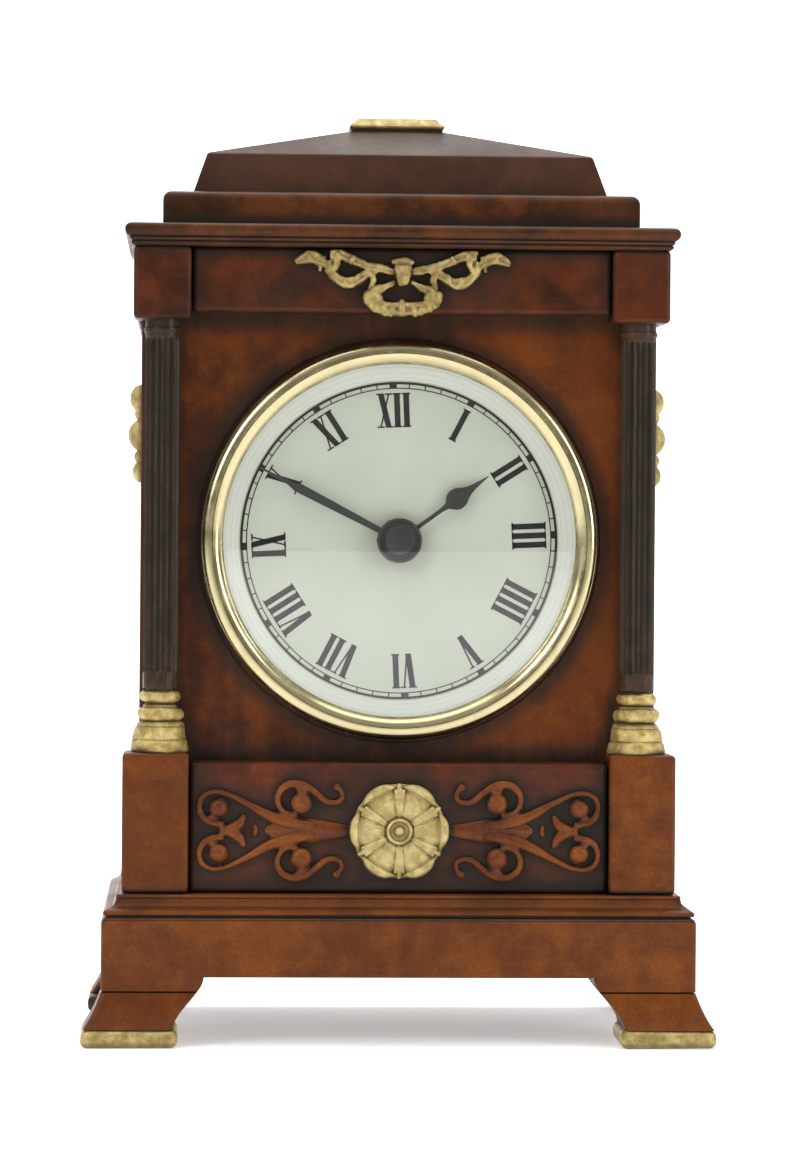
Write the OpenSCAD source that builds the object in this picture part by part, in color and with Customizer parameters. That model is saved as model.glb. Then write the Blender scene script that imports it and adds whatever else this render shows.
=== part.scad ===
// Mantel clock: a moulded wooden case with gilt mounts, two fluted corner columns and a
// round brass bezel, fitted with a quartz movement that is reached through a rear door.
// Millimetres. X runs to the right, the front faces -Y and Z is up; the feet stand on z = 0.

/* [Case heights] */
// Height of the bracket feet
foot_h = 17.6; // [14:0.2:20]
// Height of the plain plinth band above the feet
fascia_h = 14.6; // [10:0.2:20]
// Height of the moulding that steps in from the plinth
base_moulding_h = 6.2; // [5:0.2:9]
// Height of the pedestal blocks under the columns
pedestal_h = 35.9; // [30:0.2:45]
// Height from the pedestals to the blocks that the columns carry
column_zone_h = 111.1; // [108:0.2:130]
// Height of the blocks above the columns
corner_block_h = 18.7; // [17:0.2:24]
// Height of the cornice with its cove
cornice_h = 5.8; // [5:0.2:8]
// Height of the step above the cornice
step_h = 8.9; // [6:0.2:14]
// Height of the steep lower part of the roof
frustum_h = 10.9; // [8:0.2:16]
// Height of the shallow upper part of the roof
hip_h = 7.5; // [6:0.2:12]
// Height of the cap with its neck
cap_h = 3.8; // [3:0.2:6]

/* [Case plan] */
// Width of the plinth band
plinth_w = 152; // [150:1:160]
// Depth of the plinth band, from its front to the flat back
plinth_d = 99; // [95:1:110]
// Overhang of the gilt foot bands past the plinth band
band_overhang = 5; // [3:0.5:5.5]
// Width of each pedestal block
pedestal_w = 17; // [16:0.5:18]
// Inset of the pedestal faces from the plinth band
pedestal_inset = 5; // [4.5:0.5:6]
// Inset of the front panel from the plinth band
panel_inset = 21.5; // [21:0.5:23]
// Width of the case over its side panels
body_w = 134; // [132:1:136]
// Thickness of the front and side panels
panel_t = 8; // [7:0.5:9]
// Width of the step above the cornice
step_w = 123.4; // [116:0.2:130]
// Width of the roof at its foot
roof_w = 108; // [100:1:112]
// Width of the cap
cap_w = 26; // [20:1:34]

/* [Columns] */
// Distance between the column centres
column_spacing = 123; // [122:0.5:124]
// Diameter of the fluted shafts
column_d = 9; // [8:0.2:9.6]
// Number of flutes round each shaft
flutes = 14; // [10:1:16]
// Diameter of the gilt column bases
column_base_d = 14.6; // [13:0.2:15]
// Height of the gilt column bases
column_base_h = 16.3; // [14:0.1:20]

/* [Dial and bezel] */
// Height of the hand axis above the ground
dial_z = 129; // [127:1:131]
// Outer diameter of the brass bezel
bezel_d = 103; // [102:0.5:104]
// Inner diameter of the bezel, where the lens shows
bezel_inner_d = 91.2; // [90:0.2:92]
// Diameter of the dial that the white ring leaves open
dial_view_d = 83; // [80:0.5:86]
// Diameter of the insert cup behind the bezel
cup_d = 88; // [87:0.5:89]
// Length of the hour hand from the axis to its tip
hour_hand_l = 28.6; // [24:0.2:32]
// Length of the minute hand from the axis to its tip
minute_hand_l = 40.6; // [36:0.2:41]
// Clockwise angle of the hour hand from twelve
hour_angle = 53.8; // [0:0.1:359.9]
// Clockwise angle of the minute hand from twelve
minute_angle = 297.2; // [0:0.1:359.9]

/* [Movement] */
// Width of the movement housing
movement_w = 56; // [55:0.5:57]
// Height of the movement housing above the hand axis
movement_up = 24; // [23:0.5:25]
// Height of the movement housing below the hand axis
movement_down = 28; // [27.8:0.2:28.4]
// Diameter of the size AA cell
cell_d = 14.2; // [13.8:0.1:14.4]
// Length of the cell with its contact cap
cell_l = 50.4; // [49:0.1:50.5]

/* [Gears] */
// Teeth of the rotor, intermediate, seconds and third pinions
pinion_n = 8; // [8:1:10]
// Teeth of the intermediate wheel
intermediate_n = 40; // [40:1:44]
// Teeth of the seconds wheel
seconds_n = 48; // [48:1:50]
// Teeth of the third wheel
third_n = 60; // [58:1:60]
// Teeth of the centre wheel
centre_n = 64; // [62:1:64]
// Teeth of the cannon pinion on the centre arbor, and of the setting pinion
cannon_n = 12; // [10:1:12]
// Teeth of the minute wheel
minute_wheel_n = 36; // [36:1:38]
// Teeth of the minute wheel's pinion
minute_pinion_n = 10; // [10:1:10]
// Teeth of the hour wheel
hour_wheel_n = 40; // [38:1:42]

/* [Hidden] */
$fn = 64;

case_red = [0.36, 0.18, 0.1];
case_dark = [0.16, 0.13, 0.11];
gilt = [0.72, 0.62, 0.38];
brass = [0.82, 0.73, 0.45];
ivory = [0.88, 0.89, 0.84];
hand_black = [0.13, 0.15, 0.13];
steel = [0.68, 0.69, 0.7];
gear_white = [0.9, 0.9, 0.86];
moulded_black = [0.12, 0.12, 0.13];

// Levels of the case, from the ground up
fascia_z = foot_h;
moulding_z = fascia_z + fascia_h;
pedestal_z = moulding_z + base_moulding_h;
column_z = pedestal_z + pedestal_h;
block_z = column_z + column_zone_h;
cornice_z = block_z + corner_block_h;
step_z = cornice_z + cornice_h;
roof_z = step_z + step_h;
hip_z = roof_z + frustum_h;
neck_z = hip_z + hip_h;

// Plan of the case: the gilt bands at the front feet and the flat back share out the depth
back_y = (plinth_d + band_overhang) / 2;
fascia_y = back_y - plinth_d;
fascia_x = plinth_w / 2;
pedestal_x = fascia_x - pedestal_inset;
pedestal_y = fascia_y + pedestal_inset;
pedestal_inner_x = pedestal_x - pedestal_w;
block_step = 2;
block_x = pedestal_x - block_step;
block_y = pedestal_y + block_step;
panel_y = fascia_y + panel_inset;
panel_back_y = panel_y + panel_t;
body_x = body_w / 2;
inner_x = body_x - panel_t;
column_x = column_spacing / 2;
column_y = pedestal_y + 1 + column_base_d / 2;
groove = 1.5;
rail_proud = 2.5;
lower_panel_proud = 13;
frieze_proud = 11.5;
frieze_gap_z = 2.1;

// Feet
foot_w = 26.2;
foot_flare = 4.4;
foot_toe = 7.7;
rear_foot_trim = 9;
band_h = 4.7;
band_w = 24.6;
band_r = 1.6;

// Mouldings
bead_h = 1.2;
bead_r = 0.6;
cove_r = 2.6;
slab_h = 3.6;
step_r = 2;
frustum_lean = 3.7;
cap_d = 14;
cap_neck_h = 0.8;
plinth_wall = 10;

// Gilt mounts
rosette_r = 12.8;
rosette_z = pedestal_z + 16.1;
petals = 6;
swag_w = 57.2;
swag_z = 194.2;
swag_t = 4;
carving_t = 2.5;
drop_z = [167, 160.5, 153.5, 147];
drop_r = [2, 2.8, 2.8, 2.2];
drop_y = panel_y + 8;

// Rear door
door_t = 6;
door_gap = 0.4;
door_y = back_y - 11;
door_pin_r = 1;
door_pin_l = 8;
door_pivot_y = door_y + door_t / 2;
door_pivot_x = -(inner_x - door_gap - door_t / 2);
door_clear_z = 0.5;
knob_r = 4;
knob_h = 4.5;

// Insert: distances in front of the panel face
counterbore_d = 1;
flange_front = 1.2;
flange_r = 49.5;
dial_t = 0.8;
dial_front = flange_front + dial_t;
lens_back = 4.8;
lens_edge_t = 1.4;
lens_t = 1.3;
lens_rise = 5.2;
lens_r = bezel_inner_d / 2 + 1.2;
bezel_front = 8.2;
grip_t = 0.6;
cup_wall = 1.5;
cup_depth = 14;

// Stack of the hands: distances in front of the panel face
bush_front = 3.5;
nut_t = 1.2;
hour_hand_back = 3.8;
hand_t = 0.4;
pipe_front = hour_hand_back + hand_t;
minute_hand_back = 4.75;
hub_back = 4.6;
hub_front = 5.6;
hand_nut_front = 6.6;
hub_d = 11.6;
hand_nut_d = 7.8;
hour_hub_d = 9;

// Radii of the centre parts, each a running fit in the next
arbor_r = 1;
cannon_r = 1.4;
pipe_bore_r = 1.5;
pipe_r = 2.4;
bush_bore_r = 2.5;
bush_r = 4;
pivot_r = 0.35;
pivot_bore_r = 0.4;
centre_pivot_r = 0.5;
centre_pivot_bore_r = 0.55;
pivot_l = 0.7;
pivot_bore_l = 0.8;

// Movement: depths behind the inner face of the housing's front wall
wall = 1.2;
front_wall = 1.5;
cavity_d = 13.5;
cover_t = 1.2;
inner_y = panel_y - flange_front + front_wall;
bay_h = 14.6;
cavity_floor = -movement_down + wall + bay_h + wall;
cell_depth = 7.4;
cell_z = -movement_down + wall + bay_h / 2;
wheel_t = 0.8;
hour_level = 0.4;
minute_level = 1.7;
centre_level = 3.5;
third_level = 5;
seconds_level = 6.5;
intermediate_level = 8;
rotor_level = 9.6;
magnet_t = 2;
magnet_r = 2.6;
stator_level = 10.2;
screw_x = movement_w / 2 - 3;
screw_z = [movement_up - 3, cavity_floor + 1.8];
screw_r = 0.8;
screw_post_r = 2.2;
screw_head_r = 1.6;
board_x = [9.5, 22];
board_z = [-5, 18];
board_level = 10.9;
coil_x = -22.5;
coil_z = [-3.5, 11.5];
coil_r = 2.4;
core_r = 1;
setting_knob_r = 5;
setting_knob_h = 3.5;
knob_notches = 24;

// Gear modules, centre distances and places, seen from the front with the hands at [0, 0]
train_m = 0.2;
centre_m = 0.22;
motion_m = 0.25;
hour_m = 2 * motion_m * (cannon_n + minute_wheel_n) / 2 / (minute_pinion_n + hour_wheel_n);
tooth_share = 0.4;
addendum = 0.7;
dedendum = 1.1;
motion_distance = motion_m * (cannon_n + minute_wheel_n) / 2;
third_dir = 60;
seconds_dir = 120;
train_dir = 180;
minute_wheel_at = [-motion_distance, 0];
knob_at = [-2 * motion_distance, 0];
third_at = polar(centre_m * (centre_n + pinion_n) / 2, third_dir);
seconds_at = third_at + polar(train_m * (third_n + pinion_n) / 2, seconds_dir);
intermediate_at = seconds_at + polar(train_m * (seconds_n + pinion_n) / 2, train_dir);
rotor_at = intermediate_at + polar(train_m * (intermediate_n + pinion_n) / 2, train_dir);

// Turned rest positions at which every pair of gears meshes
minute_wheel_phase = mesh_phase(180, cannon_n, 0, minute_wheel_n);
knob_phase = mesh_phase(180, minute_wheel_n, minute_wheel_phase, cannon_n);
hour_wheel_phase = mesh_phase(0, minute_pinion_n, 0, hour_wheel_n);
third_pinion_phase = mesh_phase(third_dir, centre_n, 0, pinion_n);
seconds_pinion_phase = mesh_phase(seconds_dir, third_n, 0, pinion_n);
intermediate_pinion_phase = mesh_phase(train_dir, seconds_n, 0, pinion_n);
rotor_pinion_phase = mesh_phase(train_dir, intermediate_n, 0, pinion_n);

function polar(r, a) = [r * cos(a), r * sin(a)];

// Turn of gear b that puts a gap opposite gear a's tooth; b lies from a in direction dir
function mesh_phase(dir, teeth_a, phase_a, teeth_b) =
  dir + 180 + ((dir - phase_a) * teeth_a / 360 + 0.5) * 360 / teeth_b;

// Points of a gear with radial roots and tips that narrow, as in clock work
function gear_points(n, m, phase) = [
  for (i = [0 : n - 1])
    let (a = phase + i * 360 / n, half = tooth_share * 180 / n, tip = 0.45 * half)
      each [
        polar(m * (n / 2 - dedendum), a - half),
        polar(m * n / 2, a - half),
        polar(m * (n / 2 + addendum), a - tip),
        polar(m * (n / 2 + addendum), a + tip),
        polar(m * n / 2, a + half),
        polar(m * (n / 2 - dedendum), a + half),
      ]
];

// A smooth S from 0 to 1
function ease(t) = t * t * (3 - 2 * t);

// ---------------------------------------------------------------- shared shapes

// A board given by its limits along X, Y and Z
module board(x, y, z) {
  translate([x[0], y[0], z[0]]) cube([x[1] - x[0], y[1] - y[0], z[1] - z[0]]);
}

// Draws children on the right, or mirrored on the left
module on_side(s) {
  mirror([s < 0 ? 1 : 0, 0, 0]) children();
}

// Draws children with their +Z toward the viewer, from a plane in front of the panel face
module before_panel(distance, at = [0, 0]) {
  translate([at[0], panel_y - distance, dial_z + at[1]]) rotate([90, 0, 0]) children();
}

// Draws children with their +Z toward the viewer, from a depth inside the movement
module in_movement(depth, at = [0, 0]) {
  translate([at[0], inner_y + depth, dial_z + at[1]]) rotate([90, 0, 0]) children();
}

// A slab with mitred mouldings on its front and ends; children() is the profile, with x the
// overhang past the body and y the height. The back is flat, or moulded too if four_sided.
module moulded_slab(half_w, front, back, four_sided = false) {
  reach = 12;
  middle = (front + back) / 2;
  intersection() {
    translate([0, back + reach, 0])
      rotate([90, 0, 0])
        linear_extrude(back - front + 2 * reach)
          for (s = [0, 1]) mirror([s, 0]) translate([half_w, 0]) children();
    translate([-half_w - reach, middle, 0])
      rotate([90, 0, 90])
        linear_extrude(2 * (half_w + reach)) {
          mirror([1, 0]) translate([middle - front, 0]) children();
          if (four_sided) translate([middle - front, 0]) children();
        }
  }
}

// Half of a turned shape: the area right of the axis between two radii and two heights
module band_2d(r0, r1, h0, h1) {
  translate([r0, h0]) square([r1 - r0, h1 - h0]);
}

// A gear's blank with teeth and a round hole
module gear_2d(n, m, phase, hole_r) {
  difference() {
    polygon(gear_points(n, m, phase));
    circle(r = hole_r);
  }
}

// A pivoted arbor through the whole movement cavity
module pivoted_arbor(at, r) {
  in_movement(cavity_d - 0.05, at) cylinder(r = r, h = cavity_d - 0.1);
  in_movement(cavity_d + pivot_l, at) cylinder(r = pivot_r, h = cavity_d + 2 * pivot_l);
}

// ---------------------------------------------------------------- feet and plinth

// Outline of a bracket foot's face, with x = 0 at the plinth band and the toe at the ground
module foot_outline(flared, width) {
  steps = 12;
  neck_top = foot_h - 3.2;
  neck_groove = 0.8;
  run = neck_top - neck_groove - band_h;
  turn = 2 * atan2(run, -foot_flare);
  r = run / sin(360 - turn);
  flare_points = [for (i = [0 : steps]) let (a = 180 + i * (turn - 180) / steps)
    [r * (1 + cos(a)), neck_top - neck_groove + r * sin(a)]];
  toe_points = [for (i = [0 : steps]) let (t = i / steps)
    [-width + foot_toe * (1 - ease(t)), band_h + (foot_h - band_h) * t]];
  outer = flared
    ? concat([[0, foot_h], [0, neck_top], [-neck_groove, neck_top - neck_groove / 2]], flare_points)
    : [[0, foot_h], [0, band_h]];
  polygon(concat(outer, toe_points));
}

// One foot: the crossing of its front face and its side face; the rear ones are narrower
module foot(s, front) {
  reach = 40;
  on_side(s) intersection() {
    translate([fascia_x, reach + (front ? fascia_y : back_y - reach), 0])
      rotate([90, 0, 0]) linear_extrude(2 * reach)
        foot_outline(true, front ? foot_w : foot_w - rear_foot_trim);
    if (front)
      translate([fascia_x - reach, fascia_y, 0])
        rotate([90, 0, 90]) linear_extrude(2 * reach) mirror([1, 0]) foot_outline(true, foot_w);
    else
      translate([fascia_x - reach, back_y, 0])
        rotate([90, 0, 90]) linear_extrude(2 * reach) foot_outline(false, foot_w);
  }
}

module foot_front_left() { color(case_red) foot(-1, true); }
module foot_front_right() { color(case_red) foot(1, true); }
module foot_rear_left() { color(case_red) foot(-1, false); }
module foot_rear_right() { color(case_red) foot(1, false); }

// A block with rounded upright edges, given by its limits
module rounded_block(x, y, z, r) {
  translate([0, 0, z[0]]) linear_extrude(z[1] - z[0]) {
    translate([x[0] + r, y[0]]) square([x[1] - x[0] - 2 * r, y[1] - y[0]]);
    translate([x[0], y[0] + r]) square([x[1] - x[0], y[1] - y[0] - 2 * r]);
    for (cx = [x[0] + r, x[1] - r], cy = [y[0] + r, y[1] - r]) translate([cx, cy]) circle(r);
  }
}

// Gilt shoes under the four feet
module foot_bands() {
  outer = fascia_x + band_overhang;
  front = fascia_y - band_overhang;
  color(gilt) for (s = [-1, 1]) on_side(s) {
    rounded_block([outer - band_w, outer], [front, front + band_w], [0, band_h], band_r);
    rounded_block([outer - band_w + rear_foot_trim, outer], [back_y - band_w, back_y],
      [0, band_h], band_r);
  }
}

// The plain band above the feet, a hollow frame that is open below
module plinth() {
  color(case_red) difference() {
    board([-fascia_x, fascia_x], [fascia_y, back_y], [fascia_z, moulding_z]);
    board([plinth_wall - fascia_x, fascia_x - plinth_wall],
      [fascia_y + plinth_wall, back_y - plinth_wall], [fascia_z - 1, moulding_z + 1]);
  }
}

// Profile that climbs from the plinth band to the pedestals: bead, cove and bead
module base_moulding_profile(fill) {
  translate([-fill, 0]) square([fill, base_moulding_h]);
  square([pedestal_inset - 1, bead_h]);
  translate([0, bead_h]) square([pedestal_inset - bead_r - 0.3, bead_h]);
  translate([pedestal_inset - bead_r - 0.3, bead_h + bead_r]) circle(bead_r);
  translate([0, 2 * bead_h]) difference() {
    square([pedestal_inset - 1, cove_r]);
    translate([pedestal_inset - 1, cove_r]) circle(cove_r);
  }
  translate([0, base_moulding_h - bead_r]) circle(bead_r);
}

// Moulded floor of the case
module base_moulding() {
  fill = back_y - pedestal_y;
  color(case_red) difference() {
    translate([0, 0, moulding_z])
      moulded_slab(pedestal_x, pedestal_y, back_y) base_moulding_profile(fill);
    translate([door_pivot_x, door_pivot_y, pedestal_z - 2])
      cylinder(r = door_pin_r, h = 3);
  }
}

// ---------------------------------------------------------------- lower stage

module pedestal(s) {
  on_side(s) board([pedestal_inner_x, pedestal_x], [pedestal_y, panel_y], [pedestal_z, column_z]);
}

module pedestal_left() { color(case_red) pedestal(-1); }
module pedestal_right() { color(case_red) pedestal(1); }

// Rails along the sides that carry on the pedestals and the blocks above the columns
module side_rails() {
  color(case_red) for (s = [-1, 1]) on_side(s) {
    board([body_x, body_x + rail_proud], [panel_y, back_y], [pedestal_z, column_z]);
    board([body_x, body_x + rail_proud / 2], [panel_y, back_y], [block_z, cornice_z]);
  }
}

// Block between the pedestals that the carved scrolls lie on
module lower_panel() {
  half = pedestal_inner_x - 0.3;
  color(case_dark) board([-half, half], [panel_y - lower_panel_proud, panel_y],
    [pedestal_z, column_z - 2.5]);
}

// A tapering curl that leaves the stem and turns back on itself, from angle a0 to a1
module curl_2d(at, r, a0, a1, width) {
  steps = 14;
  outer = [for (i = [0 : steps]) at + polar(r, a0 + i * (a1 - a0) / steps)];
  inner = [for (i = [steps : -1 : 0]) at + polar(r - width, a0 + i * (a1 - a0) / steps)];
  polygon(concat(outer, inner));
}

// Carving on one side of the rosette, drawn with x to the right and y up
module carving_2d() {
  stem = [[12.4, 1.5], [24, 1.1], [35.4, 1.5], [35.4, -1.5], [24, -1.1], [12.4, -1.5]];
  tendril = [[32, 0.4], [38, 5], [44.5, 9.6], [49.6, 9.4], [50.6, 8], [51, 9.6], [48.6, 10.9],
    [44, 11], [36, 5.9], [30, 1]];
  polygon(stem);
  for (m = [0, 1]) mirror([0, m]) {
    polygon(tendril);
    curl_2d([46.6, 5.6], 4.2, -150, 80, 1.1);
    translate([43.6, 3.8]) circle(1.3);
    curl_2d([26.8, 7.2], 5, -100, 200, 1.4);
    translate([23.2, 5.8]) circle(1.5);
    curl_2d([17.6, 3.2], 8.2, 35, 120, 1.5);
    polygon([[24.6, 0.6], [28.4, 0.6], [27.4, 3.4], [25.2, 3.4]]);
    translate([39.4, 1.9]) circle(2.3);
  }
  translate([36.4, 0]) circle(2.2);
  translate([41.4, 0]) circle(1.9);
}

module scroll_carvings() {
  color(case_red) for (s = [-1, 1]) on_side(s)
    translate([0, panel_y - lower_panel_proud, rosette_z]) rotate([90, 0, 0])
      linear_extrude(carving_t) carving_2d();
}

// Gilt flower: petals with dished faces between pointed sepals, and a ringed button
module rosette() {
  petal_r = 4.6;
  petal_at = rosette_r - petal_r;
  color(gilt) translate([0, panel_y - lower_panel_proud, rosette_z]) rotate([90, 0, 0])
    difference() {
      union() {
        linear_extrude(2.6) for (i = [0 : petals - 1]) rotate(90 + i * 360 / petals) {
          translate([petal_at, 0]) circle(petal_r);
          polygon([[0, -3], [petal_at, -2.8], [petal_at, 2.8], [0, 3]]);
          rotate(180 / petals) polygon([[0, -2], [8, -1.8], [11.6, 0], [8, 1.8], [0, 2]]);
        }
        cylinder(r = 3.2, h = 3.4);
        translate([0, 0, 3]) sphere(r = 1.6);
      }
      for (i = [0 : petals - 1]) rotate(90 + i * 360 / petals)
        translate([petal_at + 0.4, 0, 4.6]) sphere(r = 3.6);
    }
}

// ---------------------------------------------------------------- body

// Front board, with the hole for the insert and a shallow seat for its flange
module front_panel() {
  color(case_dark) difference() {
    board([-inner_x, inner_x], [panel_y, panel_back_y], [pedestal_z, cornice_z]);
    before_panel(-panel_t - 1) cylinder(d = cup_d + 2 * grip_t, h = panel_t + 2);
    before_panel(-counterbore_d) cylinder(d = bezel_d + 2.2, h = 2);
  }
}

module side_panel(s) {
  on_side(s) board([inner_x, body_x], [panel_y, back_y], [pedestal_z, cornice_z]);
}

module side_panel_left() { color(case_red) side_panel(-1); }
module side_panel_right() { color(case_red) side_panel(1); }

// Fluted shaft with a plain ring under the block that it carries
module column(s) {
  shaft_z = column_z + column_base_h;
  shaft_h = block_z - shaft_z;
  ring_h = 3;
  foot_plain = 4;
  color(case_dark) on_side(s) translate([column_x, column_y, shaft_z]) {
    difference() {
      cylinder(d = column_d, h = shaft_h);
      for (i = [0 : flutes - 1]) rotate(i * 360 / flutes)
        translate([column_d / 2 + 0.3, 0, foot_plain])
          cylinder(r = 0.8, h = shaft_h - foot_plain - ring_h - 2);
    }
    translate([0, 0, shaft_h - ring_h]) cylinder(d = column_d + 1, h = 1);
  }
}

module column_left() { column(-1); }
module column_right() { column(1); }

// Gilt base: flared bell, ring, hollow and torus, from the pedestal up
module column_base_profile() {
  base_r = column_base_d / 2;
  bell_h = 7.6;
  ring_h = 1.8;
  scotia_h = 3;
  torus_h = column_base_h - bell_h - ring_h - scotia_h;
  difference() {
    band_2d(0, base_r, 0, bell_h);
    translate([base_r + bell_h * 0.7, bell_h]) circle(r = bell_h * 0.86);
  }
  band_2d(0, base_r - 1, bell_h, bell_h + ring_h);
  difference() {
    band_2d(0, base_r - 1.4, bell_h + ring_h, column_base_h - torus_h);
    translate([base_r - 0.6, bell_h + ring_h + scotia_h / 2]) circle(r = scotia_h / 2);
  }
  band_2d(0, base_r - 1.4 - torus_h / 2, column_base_h - torus_h, column_base_h);
  translate([base_r - 1.4 - torus_h / 2, column_base_h - torus_h / 2]) circle(r = torus_h / 2);
}

module column_base(s) {
  on_side(s) translate([column_x, column_y, column_z]) rotate_extrude() column_base_profile();
}

module column_base_left() { color(gilt) column_base(-1); }
module column_base_right() { color(gilt) column_base(1); }

// ---------------------------------------------------------------- entablature

module corner_block(s) {
  on_side(s) board([column_x - column_base_d / 2, block_x], [block_y, panel_y], [block_z, cornice_z]);
}

module corner_block_left() { color(case_red) corner_block(-1); }
module corner_block_right() { color(case_red) corner_block(1); }

// Panel between the corner blocks that the swag lies on
module frieze_panel() {
  half = column_x - column_base_d / 2 - groove;
  color(case_red) board([-half, half], [panel_y - frieze_proud, panel_y],
    [block_z + frieze_gap_z, cornice_z]);
}

// Half of the ribbon swag, from its middle to the right with y up: a loop, the arm that joins
// it to the knot, the tail, and half of the lower loop
module swag_half() {
  half = swag_w / 2;
  outlines = [
    [[0, 4.5], [9, 7.4], [11, -0.6], [0, -1]],
    [[17, 6], [22, 8.6], [half, 8], [half - 4, 5.6], [half - 1, 3.6], [20, 2.4], [16, 0.6]],
    [[0.5, 0], [1, -1], [7, -2.6], [11, -6.4], [8, -8.8], [-1, -8.8], [-1, -6.4], [6, -5.6],
      [4.6, -4], [1, -3.4]],
  ];
  translate([15, 3.4, 0]) difference() {
    cylinder(r = 6, h = swag_t);
    translate([-0.4, 0, -1]) cylinder(r = 3, h = swag_t + 2);
  }
  for (outline = outlines) linear_extrude(swag_t) polygon(outline);
}

// Gilt ribbon tied in a bow, with a loop that hangs below the knot
module swag_mount() {
  knot = [[-2.2, 8], [2.2, 8], [2.8, 5], [3.6, -1.4], [2.2, -3], [-2.2, -3], [-3.6, -1.4], [-2.8, 5]];
  color(gilt) translate([0, panel_y - frieze_proud, swag_z]) rotate([90, 0, 0]) {
    for (m = [0, 1]) mirror([m, 0, 0]) swag_half();
    linear_extrude(swag_t) polygon(knot);
  }
}

// Bead, cove and nose of the cornice, with x past the block faces
module cornice_profile(fill) {
  cove_h = cornice_h - slab_h;
  nose_r = slab_h / 2;
  translate([-fill, 0]) square([fill, cornice_h]);
  translate([0, cove_h]) square([block_step + 0.3 - nose_r, slab_h]);
  translate([block_step + 0.3 - nose_r, cove_h + nose_r]) circle(nose_r);
  translate([0, bead_r]) circle(bead_r);
}

module cornice() {
  color(case_red) difference() {
    translate([0, 0, cornice_z])
      moulded_slab(block_x, block_y, back_y) cornice_profile(back_y - block_y);
    translate([door_pivot_x, door_pivot_y, cornice_z - 1]) cylinder(r = door_pin_r, h = 3);
  }
}

// Plan of the top, which is moulded on all four sides
step_inset = (plinth_w - step_w) / 2;
step_front = fascia_y + step_inset;
step_back = back_y - step_inset;
roof_inset = (plinth_w - roof_w) / 2;
roof_front = fascia_y + roof_inset;
roof_back = back_y - roof_inset;
top_middle_y = (roof_front + roof_back) / 2;

module step_profile(fill) {
  translate([-fill, 0]) square([fill - step_r, step_h]);
  translate([-fill, 0]) square([fill, step_h - step_r]);
  translate([-step_r, step_h - step_r]) circle(step_r);
}

module top_step() {
  color(case_red) translate([0, 0, step_z])
    moulded_slab(step_w / 2, step_front, step_back, four_sided = true)
      step_profile(step_back - step_front);
}

// Outline of the roof: a steep foot, a shallow hip and a flat for the cap
module roof_outline(half_foot, half_top) {
  polygon([
    [half_foot, 0], [half_foot - frustum_lean, frustum_h], [half_top, frustum_h + hip_h],
    [-half_top, frustum_h + hip_h], [frustum_lean - half_foot, frustum_h], [-half_foot, 0],
  ]);
}

module roof() {
  half_d = (roof_back - roof_front) / 2;
  color(case_red) translate([0, top_middle_y, roof_z]) intersection() {
    translate([0, half_d, 0]) rotate([90, 0, 0]) linear_extrude(2 * half_d)
      roof_outline(roof_w / 2, cap_w / 2);
    translate([-roof_w / 2, 0, 0]) rotate([90, 0, 90]) linear_extrude(roof_w)
      roof_outline(half_d, cap_d / 2);
  }
}

module roof_cap() {
  neck_inset = 0.8;
  plate_t = cap_h - cap_neck_h;
  color(gilt) {
    translate([0, top_middle_y, neck_z + cap_neck_h])
      moulded_slab(cap_w / 2, -cap_d / 2, cap_d / 2, four_sided = true) {
        translate([-cap_d, 0]) square([cap_d - plate_t / 2, plate_t]);
        translate([-plate_t / 2, plate_t / 2]) circle(plate_t / 2);
      }
    board([neck_inset - cap_w / 2, cap_w / 2 - neck_inset],
      [top_middle_y + neck_inset - cap_d / 2, top_middle_y + cap_d / 2 - neck_inset],
      [neck_z, neck_z + cap_neck_h]);
  }
}

// Gilt chains of husks, half sunk against the side panels
module side_drops() {
  color(gilt) for (s = [-1, 1]) on_side(s) intersection() {
    translate([body_x, drop_y, 0]) union() {
      for (i = [0 : 3]) translate([0, 0, drop_z[i]]) sphere(r = drop_r[i]);
      translate([0, 0, drop_z[3] - 3]) cylinder(r = 0.9, h = drop_z[0] - drop_z[3] + 4.5);
    }
    board([body_x, body_x + 5], [drop_y - 5, drop_y + 5], [drop_z[3] - 5, drop_z[0] + 5]);
  }
}

// ---------------------------------------------------------------- rear door

module rear_door() {
  bottom = pedestal_z + door_clear_z;
  top = cornice_z - door_clear_z;
  bore_l = door_pin_l - 1;
  color(case_dark) difference() {
    union() {
      board([door_pivot_x, inner_x - door_gap], [door_y, door_y + door_t], [bottom, top]);
      translate([door_pivot_x, door_pivot_y, bottom]) cylinder(d = door_t, h = top - bottom);
    }
    for (z = [bottom - 1, top - bore_l]) translate([door_pivot_x, door_pivot_y, z])
      cylinder(r = door_pin_r + 0.08, h = bore_l + 1);
  }
}

// Steel pins that stand in the floor and hang from the cornice
module door_pins() {
  color(steel) for (z = [pedestal_z - 2, cornice_z + 2 - door_pin_l])
    translate([door_pivot_x, door_pivot_y, z]) cylinder(r = door_pin_r, h = door_pin_l);
}

module door_knob() {
  stem_h = 1.5;
  color(brass) translate([inner_x - 11, door_y + door_t, dial_z]) rotate([-90, 0, 0])
    rotate_extrude() {
      band_2d(0, 1.8, 0, stem_h);
      band_2d(0, knob_r - 1, stem_h, knob_h);
      translate([knob_r - 1.5, (stem_h + knob_h) / 2]) circle(r = (knob_h - stem_h) / 2);
    }
}

// ---------------------------------------------------------------- insert

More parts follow.
